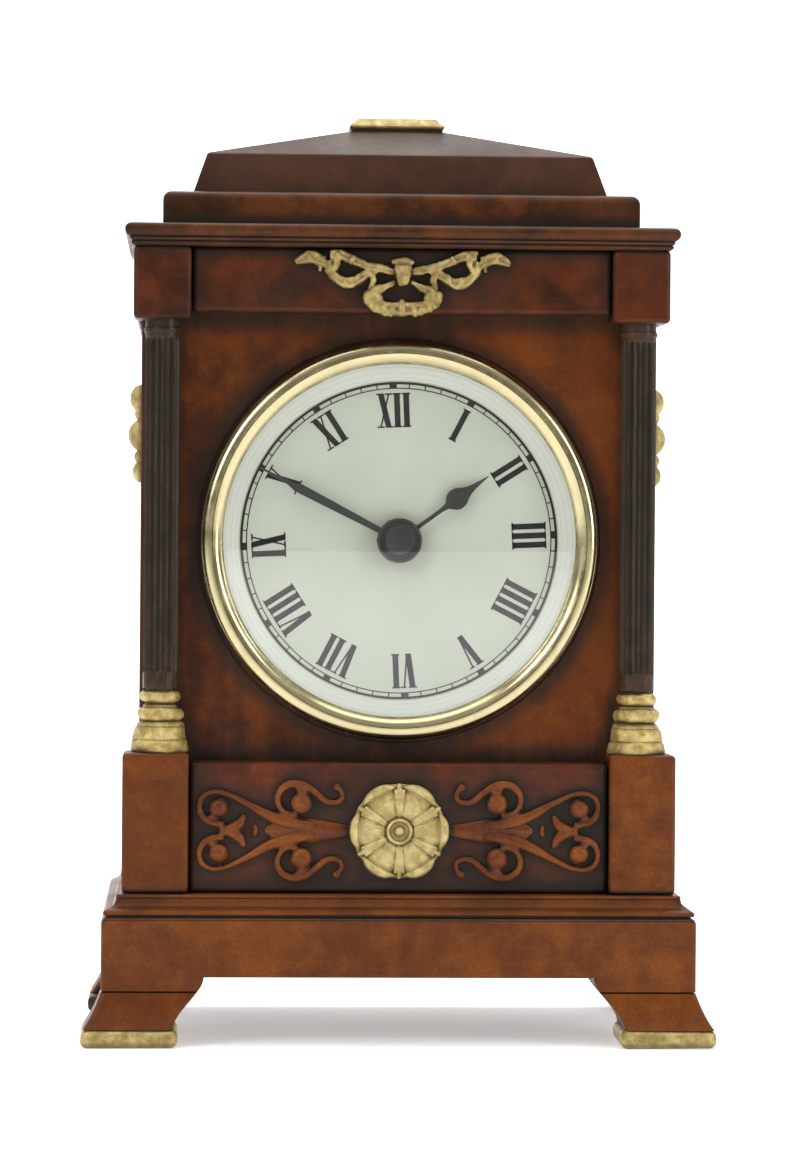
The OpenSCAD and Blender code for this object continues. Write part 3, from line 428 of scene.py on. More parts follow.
    @staticmethod
    def roughen(obj: bpy.types.Object, strength: float, scale: float) -> None:
        """Gives a casting the slight unevenness of hand work, in millimetres."""
        texture = bpy.data.textures.new(f"{obj.name}_unevenness", "CLOUDS")
        texture.noise_scale = scale * MM
        texture.noise_depth = 1
        Bench.apply(obj, "DISPLACE", texture=texture, strength=strength * MM,
                    mid_level=0.5, texture_coords="LOCAL")


# ------------------------------------------------------------------ shader sheets


class Sheet:
    """A node tree that is written node by node."""

    def __init__(self, tree: bpy.types.NodeTree) -> None:
        """Keeps the tree to write in."""
        self.tree = tree

    def add(self, kind: str, inputs: dict | None = None, **settings: object) -> bpy.types.Node:
        """A node with its settings, its values and its links.

        Args:
            kind: Its type without the ShaderNode prefix.
            inputs: Values or output sockets by input name or number.
            **settings: The node's own properties.

        Returns:
            The node.
        """
        node = self.tree.nodes.new(f"ShaderNode{kind}")
        for key, value in settings.items():
            setattr(node, key, value)
        self.fit(node, inputs or {})
        return node

    def fit(self, node: bpy.types.Node, inputs: dict) -> None:
        """Gives a node's inputs their values or links, by input name or number."""
        for key, value in inputs.items():
            if isinstance(value, bpy.types.NodeSocket):
                self.tree.links.new(value, node.inputs[key])
            else:
                node.inputs[key].default_value = value

    def place(self) -> bpy.types.NodeSocket:
        """Object coordinates, in metres."""
        return self.add("TexCoord").outputs["Object"]

    def math(self, operation: str, first: object, second: object = 0.0) -> bpy.types.NodeSocket:
        """One step of arithmetic."""
        return self.add("Math", {0: first, 1: second}, operation=operation).outputs[0]

    def noise(self, place: object, size: float, detail: float = 4.0,
              rough: float = 0.55) -> bpy.types.NodeSocket:
        """Soft noise with features of a size in millimetres."""
        values = {"Vector": place, "Scale": 1.0 / (size * MM), "Detail": detail, "Roughness": rough}
        return self.add("TexNoise", values).outputs["Fac"]

    def spread(self, value: object, low: float, high: float, to_low: float = 0.0,
               to_high: float = 1.0) -> bpy.types.NodeSocket:
        """A value's range moved smoothly to another, clamped at its ends."""
        values = {0: value, 1: low, 2: high, 3: to_low, 4: to_high}
        return self.add("MapRange", values, interpolation_type="SMOOTHSTEP").outputs[0]

    def mix(self, share: object, first: object, second: object,
            blend: str = "MIX") -> bpy.types.NodeSocket:
        """A blend of two colours."""
        values = {0: share, 6: first, 7: second}
        return self.add("Mix", values, data_type="RGBA", blend_type=blend).outputs[2]

    def bump(self, height: object, distance: float, strength: float = 1.0) -> bpy.types.NodeSocket:
        """A normal bent by a height, distance in millimetres."""
        values = {"Height": height, "Distance": distance * MM, "Strength": strength}
        return self.add("Bump", values).outputs[0]

    def split(self, place: object) -> list[bpy.types.NodeSocket]:
        """The X, Y and Z of coordinates."""
        return list(self.add("SeparateXYZ", {0: place}).outputs)

    def radius(self, place: object, first: int, second: int, centre: Point) -> bpy.types.NodeSocket:
        """Distance from an axis.

        Args:
            place: Coordinates.
            first: Number of the first axis across it.
            second: Number of the second axis across it.
            centre: Its place on those axes, in millimetres.

        Returns:
            The distance, in metres.
        """
        axes = self.split(place)
        a = self.math("SUBTRACT", axes[first], centre[0] * MM)
        b = self.math("SUBTRACT", axes[second], centre[1] * MM)
        return self.math("SQRT", self.math("ADD", self.math("MULTIPLY", a, a), self.math("MULTIPLY", b, b)))


def rgba(colour: Colour) -> tuple[float, float, float, float]:
    """A colour with full alpha."""
    return (*colour, 1.0)


class Effects:
    """Shader node groups that several finishes share, each built once."""

    @staticmethod
    def _group(name: str, inputs: dict[str, object], outputs: tuple[str, ...]):
        """An empty group with named sockets.

        Args:
            name: Its name.
            inputs: Starting value of each input.
            outputs: Name of each output.

        Returns:
            The group's sheet, its input node and its output node.
        """
        tree = bpy.data.node_groups.new(name, "ShaderNodeTree")
        for key, value in inputs.items():
            socket = tree.interface.new_socket(key, in_out="INPUT", socket_type="NodeSocketFloat")
            socket.default_value = value
        for key in outputs:
            tree.interface.new_socket(key, in_out="OUTPUT", socket_type="NodeSocketFloat")
        return Sheet(tree), tree.nodes.new("NodeGroupInput"), tree.nodes.new("NodeGroupOutput")

    @classmethod
    @cache
    def glaze_and_shade(cls) -> bpy.types.NodeTree:
        """Dark glazing wiped over a surface, with painted shade: it stays in the hollows, darkens spots that
        nearby parts close in, and lies in loose patches.
        """
        inputs = {"Reach": 2.0 * MM, "Hollow": 1.0, "Closed": 0.7, "Patch Size": 0.02, "Patches": 0.5}
        sheet, given, result = cls._group("hollow_glaze", inputs, ("Mask",))
        # Occlusion darkens hollows and spots beside nearby parts: partly glazing, partly painted shade.
        open_air = sheet.add("AmbientOcclusion", {"Distance": given.outputs["Reach"]},
                             samples=6).outputs["AO"]
        hollow = sheet.spread(open_air, 0.97, given.outputs["Closed"])
        hollow = sheet.math("MULTIPLY", hollow, given.outputs["Hollow"])
        place = sheet.place()
        scale = sheet.math("DIVIDE", 1.0, given.outputs["Patch Size"])
        values = {"Vector": place, "Scale": scale, "Detail": 5.0, "Roughness": 0.6}
        cloud = sheet.add("TexNoise", values).outputs["Fac"]
        patch = sheet.math("MULTIPLY", sheet.spread(cloud, 0.42, 0.66), given.outputs["Patches"])
        both = sheet.math("MAXIMUM", hollow, patch)
        sheet.fit(result, {"Mask": sheet.math("MINIMUM", both, 1.0)})
        return sheet.tree

    @classmethod
    @cache
    def grain(cls) -> bpy.types.NodeTree:
        """Long streaks of brushed lacquer over wood grain."""
        inputs = {"Along X": 1.0, "Along Z": 0.0, "Fineness": 1.0}
        sheet, given, result = cls._group("brushed_grain", inputs, ("Streak", "Height"))
        x, y, z = sheet.split(sheet.place())
        short_x = sheet.math("MULTIPLY", x, sheet.spread(given.outputs["Along X"], 0, 1, 1.0, 0.05))
        short_z = sheet.math("MULTIPLY", z, sheet.spread(given.outputs["Along Z"], 0, 1, 1.0, 0.05))
        place = sheet.add("CombineXYZ", {0: short_x, 1: y, 2: short_z}).outputs[0]
        scale = sheet.math("MULTIPLY", given.outputs["Fineness"], 900.0)
        coarse = sheet.math("MULTIPLY", given.outputs["Fineness"], 240.0)
        fine = sheet.add("TexNoise", {"Vector": place, "Scale": scale, "Detail": 3.0}).outputs["Fac"]
        wide = sheet.add("TexNoise", {"Vector": place, "Scale": coarse, "Detail": 4.0}).outputs["Fac"]
        streak = sheet.math("ADD", sheet.math("MULTIPLY", fine, 0.45), sheet.math("MULTIPLY", wide, 0.55))
        sheet.fit(result, {"Streak": sheet.spread(streak, 0.36, 0.64), "Height": fine})
        return sheet.tree

    @classmethod
    @cache
    def dust_and_sheen(cls) -> bpy.types.NodeTree:
        """Fine dusty haze that settles on faces that look up; its paler grey is partly a painted sheen of the
        light from above.
        """
        sheet, given, result = cls._group("settled_dust", {"Amount": 0.3}, ("Mask",))
        normal = sheet.add("NewGeometry").outputs["Normal"]
        # Faces that look up turn paler and greyer: partly a dusty haze, partly painted sheen.
        up = sheet.spread(sheet.split(normal)[2], 0.25, 0.95)
        cloud = sheet.noise(sheet.place(), 9.0, 6.0, 0.65)
        mask = sheet.math("MULTIPLY", up, sheet.spread(cloud, 0.3, 0.75, 0.35, 1.0))
        mask = sheet.math("MULTIPLY", mask, given.outputs["Amount"])
        sheet.fit(result, {"Mask": mask})
        return sheet.tree

    @classmethod
    @cache
    def smudge(cls) -> bpy.types.NodeTree:
        """Uneven polish: the roughness of a handled surface."""
        inputs = {"Clean": 0.1, "Smeared": 0.3, "Size": 0.012}
        sheet, given, result = cls._group("handled_polish", inputs, ("Roughness",))
        scale = sheet.math("DIVIDE", 1.0, given.outputs["Size"])
        values = {"Vector": sheet.place(), "Scale": scale, "Detail": 6.0, "Roughness": 0.6}
        cloud = sheet.spread(sheet.add("TexNoise", values).outputs["Fac"], 0.35, 0.7)
        reach = sheet.math("SUBTRACT", given.outputs["Smeared"], given.outputs["Clean"])
        rough = sheet.math("ADD", given.outputs["Clean"], sheet.math("MULTIPLY", cloud, reach))
        sheet.fit(result, {"Roughness": rough})
        return sheet.tree


def use_group(sheet: Sheet, tree: bpy.types.NodeTree, **inputs: object) -> bpy.types.Node:
    """Places a shared effect in a material with its own values, named without their spaces."""
    node = sheet.add("Group", node_tree=tree)
    for socket in node.inputs:
        value = inputs.get(socket.name.replace(" ", "_").lower())
        if isinstance(value, bpy.types.NodeSocket):
            sheet.tree.links.new(value, socket)
        elif value is not None:
            socket.default_value = value
    return node


# ------------------------------------------------------------------ finishes


class GrainRun(Enum):
    """The way the brush marks and the grain run."""

    ACROSS = "across"
    UPRIGHT = "upright"


@dataclass(frozen=True)
class Finish:
    """A finish that can make its material."""

    name: str

    def _start(self) -> tuple[bpy.types.Material, Sheet, bpy.types.Node]:
        """A material, its sheet and its shader."""
        material = bpy.data.materials.new(self.name)
        material.use_nodes = True
        sheet = Sheet(material.node_tree)
        shader = next(n for n in material.node_tree.nodes if n.type == "BSDF_PRINCIPLED")
        return material, sheet, shader

    def make(self) -> bpy.types.Material:
        """The material of this finish."""
        raise NotImplementedError


@dataclass(frozen=True)
class Lacquer(Finish):
    """Coloured lacquer with dark glazing wiped into its hollows and over its edges; the darkening in the
    hollows is partly painted shade.
    """

    base: Colour = (0.06, 0.013, 0.004)
    warm: Colour = (0.15, 0.035, 0.006)
    # Dark colour, reach, hollow and closed set the darkening in the hollows: partly glazing, partly painted
    # shade.
    glaze_and_shade: Colour = (0.019, 0.0165, 0.012)
    run: GrainRun = GrainRun.ACROSS
    reach: float = 2.0
    hollow: float = 0.9
    closed: float = 0.72
    patch_size: float = 26.0
    patches: float = 0.35
    warmth: float = 0.6
    gloss: float = 0.34
    sheen: float = 0.15
    lean: float = 0.0
    # Amount and colour of the paler grey on faces that look up: a dusty haze and a painted sheen.
    dust_and_sheen: float = 0.0
    dusty_sheen_colour: Colour = (0.27, 0.225, 0.17)

    def make(self) -> bpy.types.Material:
        """Clouded lacquer, glazing with painted shade in the hollows, a dusty haze with a painted sheen, and
        a soft top coat.
        """
        material, sheet, shader = self._start()
        place = sheet.place()
        across = 1.0 if self.run == GrainRun.ACROSS else 0.0
        upright = 1.0 if self.run == GrainRun.UPRIGHT else 0.0
        grain = use_group(sheet, Effects.grain(), along_x=across, along_z=upright, fineness=0.7)
        wide = sheet.spread(sheet.noise(place, 24.0, 4.0, 0.6), 0.40, 0.62, 0.0, 0.55)
        small = sheet.spread(sheet.noise(place, 6.0, 5.0, 0.65), 0.36, 0.64, 0.0, 0.28)
        streak = sheet.math("MULTIPLY", grain.outputs["Streak"], 0.17)
        clouds = sheet.math("ADD", sheet.math("ADD", wide, small), streak)
        right = sheet.spread(sheet.split(place)[0], -50 * MM, 60 * MM, 0.0, self.lean)
        warm_share = sheet.math("ADD", sheet.math("MULTIPLY", clouds, self.warmth), right)
        colour = sheet.mix(sheet.math("MINIMUM", warm_share, 1.0), rgba(self.base), rgba(self.warm))
        speck = sheet.spread(sheet.noise(place, 0.8, 2.0), 0.32, 0.68, 0.6, 1.25)
        colour = sheet.mix(0.3, colour, speck, "MULTIPLY")
        # The occlusion mask lays the dark colour in hollows: partly glazing, partly painted shade.
        glaze_and_shade = use_group(sheet, Effects.glaze_and_shade(), reach=self.reach * MM, hollow=self.hollow,
                          closed=self.closed, patch_size=self.patch_size * MM, patches=self.patches)
        streaky = sheet.math("MULTIPLY", glaze_and_shade.outputs["Mask"], sheet.spread(
            grain.outputs["Streak"], 0.0, 1.0, 1.0, 0.8))
        colour = sheet.mix(streaky, colour, rgba(self.glaze_and_shade))
        # Faces that look up take the paler grey: a dusty haze and a painted sheen.
        dust_and_sheen = use_group(sheet, Effects.dust_and_sheen(), amount=self.dust_and_sheen)
        colour = sheet.mix(dust_and_sheen.outputs["Mask"], colour, rgba(self.dusty_sheen_colour))
        polish = use_group(sheet, Effects.smudge(), clean=self.gloss, smeared=self.gloss + 0.18, size=0.02)
        rough = sheet.math("ADD", polish.outputs["Roughness"], sheet.math(
            "MULTIPLY", dust_and_sheen.outputs["Mask"], 0.35))
        pores = sheet.noise(place, 0.9, 3.0)
        height = sheet.math("ADD", sheet.math("MULTIPLY", grain.outputs["Height"], 0.6), pores)
        sheet.fit(shader, {"Base Color": colour, "Roughness": rough, "Normal": sheet.bump(height, 0.05, 0.6),
                           "Specular IOR Level": self.sheen, "Coat Weight": 0.03, "Coat Roughness": 0.2})
        return material


@dataclass(frozen=True)
class FlutedLacquer(Finish):
    """Near-black lacquer, brown along the ridges between the flutes: partly rubbed through, partly a painted
    highlight.
    """

    axes: tuple[Point, Point] = ((0.0, 0.0), (0.0, 0.0))
    ridge_r: float = 4.5
    valley_r: float = 3.8
    black: Colour = (0.017, 0.0135, 0.009)
    brown: Colour = (0.060, 0.030, 0.014)
    low_z: float = 0.0
    high_z: float = 100.0

    def make(self) -> bpy.types.Material:
        """Ridges brown, partly a painted highlight; hollows black, and a redder foot to each column."""
        material, sheet, shader = self._start()
        place = sheet.place()
        near = sheet.math("MINIMUM", *[sheet.radius(place, 0, 1, axis) for axis in self.axes])
        # Brown on the ridges: partly rubbed-through lacquer, partly a painted highlight.
        ridge = sheet.spread(near, self.valley_r * MM, self.ridge_r * MM)
        ridge = sheet.math("MULTIPLY", ridge, ridge)
        wear_and_highlight = sheet.spread(sheet.noise(place, 5.0, 6.0, 0.7), 0.36, 0.62, 0.15, 0.9)
        share = sheet.math("MULTIPLY", ridge, wear_and_highlight)
        height = sheet.split(place)[2]
        foot = sheet.spread(height, self.low_z * MM, self.high_z * MM, 0.5, 0.0)
        share = sheet.math("MINIMUM", sheet.math("ADD", share, sheet.math("MULTIPLY", foot, wear_and_highlight)), 1.0)
        colour = sheet.mix(share, rgba(self.black), rgba(self.brown))
        polish = use_group(sheet, Effects.smudge(), clean=0.3, smeared=0.5, size=0.01)
        skin = sheet.bump(sheet.noise(place, 0.8, 4.0), 0.05, 0.7)
        sheet.fit(shader, {"Base Color": colour, "Roughness": polish.outputs["Roughness"], "Normal": skin,
                           "Specular IOR Level": 0.2, "Coat Weight": 0.05, "Coat Roughness": 0.22})
        return material


@dataclass(frozen=True)
class GiltPaint(Finish):
    """Gold paint with brown washes that have run into the hollows; the darkening there is partly painted
    shade.
    """

    gold: Colour = (0.41, 0.29, 0.085)
    pale: Colour = (0.66, 0.51, 0.20)
    # Colour of the dark in the hollows: brown washes and painted shade.
    wash_and_shade: Colour = (0.085, 0.050, 0.014)
    reach: float = 2.2
    hollow: float = 0.9
    closed: float = 0.66
    patches: float = 0.25
    metal: float = 0.55
    facets: float = 0.3
    mottle: float = 3.0

    def make(self) -> bpy.types.Material:
        """Mottled gold, the washes with painted shade in the hollows, and fine brush marks."""
        material, sheet, shader = self._start()
        place = sheet.place()
        cloud = sheet.spread(sheet.noise(place, self.mottle, 6.0, 0.65), 0.38, 0.64)
        colour = sheet.mix(cloud, rgba(self.gold), rgba(self.pale))
        glaze_and_shade = use_group(sheet, Effects.glaze_and_shade(), reach=self.reach * MM, hollow=self.hollow,
                          closed=self.closed, patch_size=4.0 * MM, patches=self.patches)
        # Hollows take the dark colour and lose their metal: washes and painted shade.
        colour = sheet.mix(glaze_and_shade.outputs["Mask"], colour, rgba(self.wash_and_shade))
        bare = sheet.math("SUBTRACT", 1.0, glaze_and_shade.outputs["Mask"])
        rough = sheet.spread(sheet.noise(place, 1.2, 4.0), 0.3, 0.7, 0.34, 0.52)
        marks = sheet.math("ADD", sheet.noise(place, 1.6, 5.0, 0.6), sheet.math(
            "MULTIPLY", sheet.noise(place, 0.35, 2.0), 0.35))
        sheet.fit(shader, {"Base Color": colour, "Metallic": sheet.math("MULTIPLY", bare, self.metal),
                           "Roughness": rough, "Normal": sheet.bump(marks, self.facets, 0.9)})
        return material


@dataclass(frozen=True)
class TurnedBrass(Finish):
    """Polished brass turned on a lathe: faint rings round its axis and a little haze."""

    axis: Point = (0.0, 0.0)
    colour: Colour = (0.60, 0.52, 0.30)
    dull: Colour = (0.42, 0.34, 0.18)
    clean: float = 0.16
    smeared: float = 0.3

    def make(self) -> bpy.types.Material:
        """Bright metal with turning marks and handled patches."""
        material, sheet, shader = self._start()
        place = sheet.place()
        radius = sheet.radius(place, 0, 2, self.axis)
        rings = sheet.add("TexNoise", {"W": sheet.math("MULTIPLY", radius, 6000.0), "Scale": 1.0,
                                       "Detail": 2.0}, noise_dimensions="1D").outputs["Fac"]
        haze = sheet.spread(sheet.noise(place, 14.0, 6.0, 0.65), 0.45, 0.75, 0.0, 0.6)
        polish = use_group(sheet, Effects.smudge(), clean=self.clean, smeared=self.smeared, size=0.008)
        sheet.fit(shader, {"Base Color": sheet.mix(haze, rgba(self.colour), rgba(self.dull)), "Metallic": 1.0,
                           "Roughness": polish.outputs["Roughness"], "Normal": sheet.bump(rings, 0.01, 0.5)})
        return material


@dataclass(frozen=True)
class ClearGlass(Finish):
    """Clear glass that lets lamps through to the dial."""

    def make(self) -> bpy.types.Material:
        """Glass for what is seen, plain clearness for shadow rays."""
        material, sheet, shader = self._start()
        sheet.fit(shader, {"Transmission Weight": 1.0, "Roughness": 0.0, "IOR": 1.49,
                           "Base Color": rgba((0.97, 0.98, 0.97))})
        rays = sheet.add("LightPath")
        clear = sheet.add("BsdfTransparent", {0: rgba((0.96, 0.97, 0.96))})
        share = sheet.math("MAXIMUM", rays.outputs["Is Shadow Ray"], rays.outputs["Is Diffuse Ray"])
        blend = sheet.add("MixShader", {0: share, 1: shader.outputs[0], 2: clear.outputs[0]})
        output = next(n for n in sheet.tree.nodes if n.type == "OUTPUT_MATERIAL")
        sheet.fit(output, {"Surface": blend.outputs[0]})
        return material


@dataclass(frozen=True)
class Painted(Finish):
    """Smooth paint or print with faint mottling and a soft grain."""

    colour: Colour = (0.5, 0.5, 0.5)
    shade: Colour = (0.4, 0.4, 0.4)
    spot: float = 8.0
    rough: float = 0.5
    relief: float = 0.02
    relief_size: float = 0.4
    metal: float = 0.0
    sheen: float = 0.5

    def make(self) -> bpy.types.Material:
        """Mottled colour, uneven sheen and a fine skin."""
        material, sheet, shader = self._start()
        place = sheet.place()
        cloud = sheet.spread(sheet.noise(place, self.spot, 6.0, 0.6), 0.3, 0.7)
        polish = use_group(sheet, Effects.smudge(), clean=self.rough, smeared=self.rough + 0.12,
                           size=self.spot * MM)
        skin = sheet.bump(sheet.noise(place, self.relief_size, 3.0), self.relief, 0.6)
        sheet.fit(shader, {"Base Color": sheet.mix(cloud, rgba(self.colour), rgba(self.shade)),
                           "Roughness": polish.outputs["Roughness"], "Normal": skin,
                           "Metallic": self.metal, "Specular IOR Level": self.sheen})
        return material


@dataclass(frozen=True)
class RingedEnamel(Finish):
    """White enamel with faint grey rings round the dial."""

    axis: Point = (0.0, 0.0)
    white: Colour = (0.62, 0.63, 0.56)
    grey: Colour = (0.44, 0.45, 0.40)
    pitch: float = 1.35

    def make(self) -> bpy.types.Material:
        """Rings of shade at an even pitch over white."""
        material, sheet, shader = self._start()
        place = sheet.place()
        radius = sheet.radius(place, 0, 2, self.axis)
        phase = sheet.math("MULTIPLY", radius, FULL_TURN / (self.pitch * MM))
        wave = sheet.spread(sheet.math("SINE", phase), 0.55, 1.0, 0.0, 0.35)
        polish = use_group(sheet, Effects.smudge(), clean=0.3, smeared=0.42, size=0.01)
        sheet.fit(shader, {"Base Color": sheet.mix(wave, rgba(self.white), rgba(self.grey)),
                           "Roughness": polish.outputs["Roughness"], "Normal": sheet.bump(wave, 0.05, 0.4)})
        return material


@dataclass(frozen=True)
class WoundWire(Finish):
    """Fine enamelled wire wound round an upright bobbin."""

    colour: Colour = (0.55, 0.20, 0.07)
    # Darker copper between the turns: painted shade in the grooves.
    gap: Colour = (0.16, 0.05, 0.02)
    pitch: float = 0.22

    def make(self) -> bpy.types.Material:
        """Turns of wire stacked along Z, with painted shade in the grooves between them."""
        material, sheet, shader = self._start()
        height = sheet.split(sheet.place())[2]
        phase = sheet.math("MULTIPLY", height, FULL_TURN / (self.pitch * MM))
        wave = sheet.spread(sheet.math("SINE", phase), -1.0, 1.0)
        sheet.fit(shader, {"Base Color": sheet.mix(wave, rgba(self.gap), rgba(self.colour)), "Metallic": 0.8,
                           "Roughness": 0.35, "Normal": sheet.bump(wave, 0.1, 0.8)})
        return material


# ------------------------------------------------------------------ placing pieces


class Stock:
    """Hands each finished piece to the frame and reports it."""

    def __init__(self) -> None:
        """Starts with no materials made."""
        self._materials: dict[str, bpy.types.Material] = {}
        self.count = 0

    def material(self, finish: Finish) -> bpy.types.Material:
        """The material of a finish, made once."""
        if finish.name not in self._materials:
            self._materials[finish.name] = finish.make()
        return self._materials[finish.name]

    def place(self, piece: bpy.types.Object, finish: Finish, slot: str, body: str = "case",
              replaces: tuple[str, ...] = ()) -> None:
        """Dresses a piece, makes it ride on a body and hides the nodes it stands for.

        Args:
            piece: The finished object.
            finish: Its finish.
            slot: Name of its material slot; not used.
            body: The body that it moves with.
            replaces: CAD nodes that it stands for.
        """
        piece.data.materials.clear()
        piece.data.materials.append(self.material(finish))
        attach(piece, body)
        if replaces:
            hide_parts(*replaces)
        self.count += 1
        LOG.info("%s: %d faces on %s", piece.name, len(piece.data.polygons), body)

    def dress(self, node: str, finish: Finish) -> None:
        """Gives a CAD node that stays its finish."""
        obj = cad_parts[node]
        if not obj.material_slots:
            obj.data.materials.append(None)
        for slot in obj.material_slots:
            slot.material = self.material(finish)
        LOG.info("%s: carried over in %s", node, finish.name)


# ------------------------------------------------------------------ the case


UPPER_RED = Lacquer("red_lacquer_upper", base=(0.026, 0.008, 0.003), warm=(0.095, 0.021, 0.004),
                    patches=0.35, hollow=1.0, warmth=1.0, reach=4.0)
TOP_RED = Lacquer("red_lacquer_top", base=(0.032, 0.010, 0.003), warm=(0.12, 0.034, 0.006),
                  patches=0.4, hollow=1.0, warmth=1.0, reach=4.0, closed=0.78)
LOWER_RED = Lacquer("red_lacquer_plinth", base=(0.100, 0.025, 0.004), warm=(0.19, 0.051, 0.006),
                    patches=0.14, patch_size=20.0, warmth=1.0, hollow=1.0, reach=2.6)
SIDE_RED = Lacquer("red_lacquer_sides", base=(0.038, 0.010, 0.003), warm=(0.10, 0.024, 0.005),
                   run=GrainRun.UPRIGHT, patches=0.35)
# On the roof's upward slopes the paler grey is partly a painted sheen.
ROOF_RED = Lacquer("red_lacquer_roof", base=(0.038, 0.013, 0.005), warm=(0.080, 0.027, 0.009),
                   patches=0.3, dust_and_sheen=0.18, gloss=0.34)
# Wide reach and high closed paint a dark ring round the bezel: a painted shadow of the bezel.
PANEL_RED = Lacquer("red_lacquer_panel", base=(0.052, 0.0125, 0.003), warm=(0.19, 0.045, 0.004),
                    run=GrainRun.UPRIGHT, patches=0.3, warmth=0.85, reach=6.0, closed=0.78, lean=0.5)
PANEL_DARK = Lacquer("dark_lacquer_panel", base=(0.024, 0.011, 0.005), warm=(0.070, 0.019, 0.006),
                     run=GrainRun.UPRIGHT, patches=0.5, warmth=0.8)
# Long reach and high closed darken the panel beside the carvings: painted shade.
RELIEF_RED = Lacquer("red_lacquer_relief", base=(0.060, 0.014, 0.005), warm=(0.15, 0.032, 0.009),
                     patches=0.5, patch_size=16.0, reach=8.0, hollow=1.0, warmth=1.0, closed=0.84)
# Reach and closed darken the foot of each stroke: painted shade along its sides.
CARVED_ORANGE = Lacquer("orange_lacquer_carving", base=(0.085, 0.019, 0.005), warm=(0.23, 0.062, 0.009),
                        patches=0.12, patch_size=8.0, reach=2.4, hollow=1.0, warmth=1.0, gloss=0.24,
                        closed=0.76, sheen=0.18)
GILT = GiltPaint("gilt_paint")
GILT_BRIGHT = GiltPaint("gilt_paint_bright", gold=(0.43, 0.32, 0.105), pale=(0.66, 0.53, 0.24),
                        patches=0.15, reach=1.8, metal=0.45, closed=0.62, hollow=0.7)
# A darker copy of the gilt paint for the swag, with stronger darkening in its hollows, partly painted shade.
GILT_DARK = GiltPaint("gilt_paint_aged", gold=(0.29, 0.20, 0.06), pale=(0.55, 0.42, 0.165), patches=0.25,
                      hollow=1.0, closed=0.72, metal=0.6, facets=0.35, mottle=3.5)
GILT_PLAIN = GiltPaint("gilt_paint_plain", patches=0.3, hollow=0.6, gold=(0.34, 0.24, 0.07),
                       pale=(0.58, 0.45, 0.18))


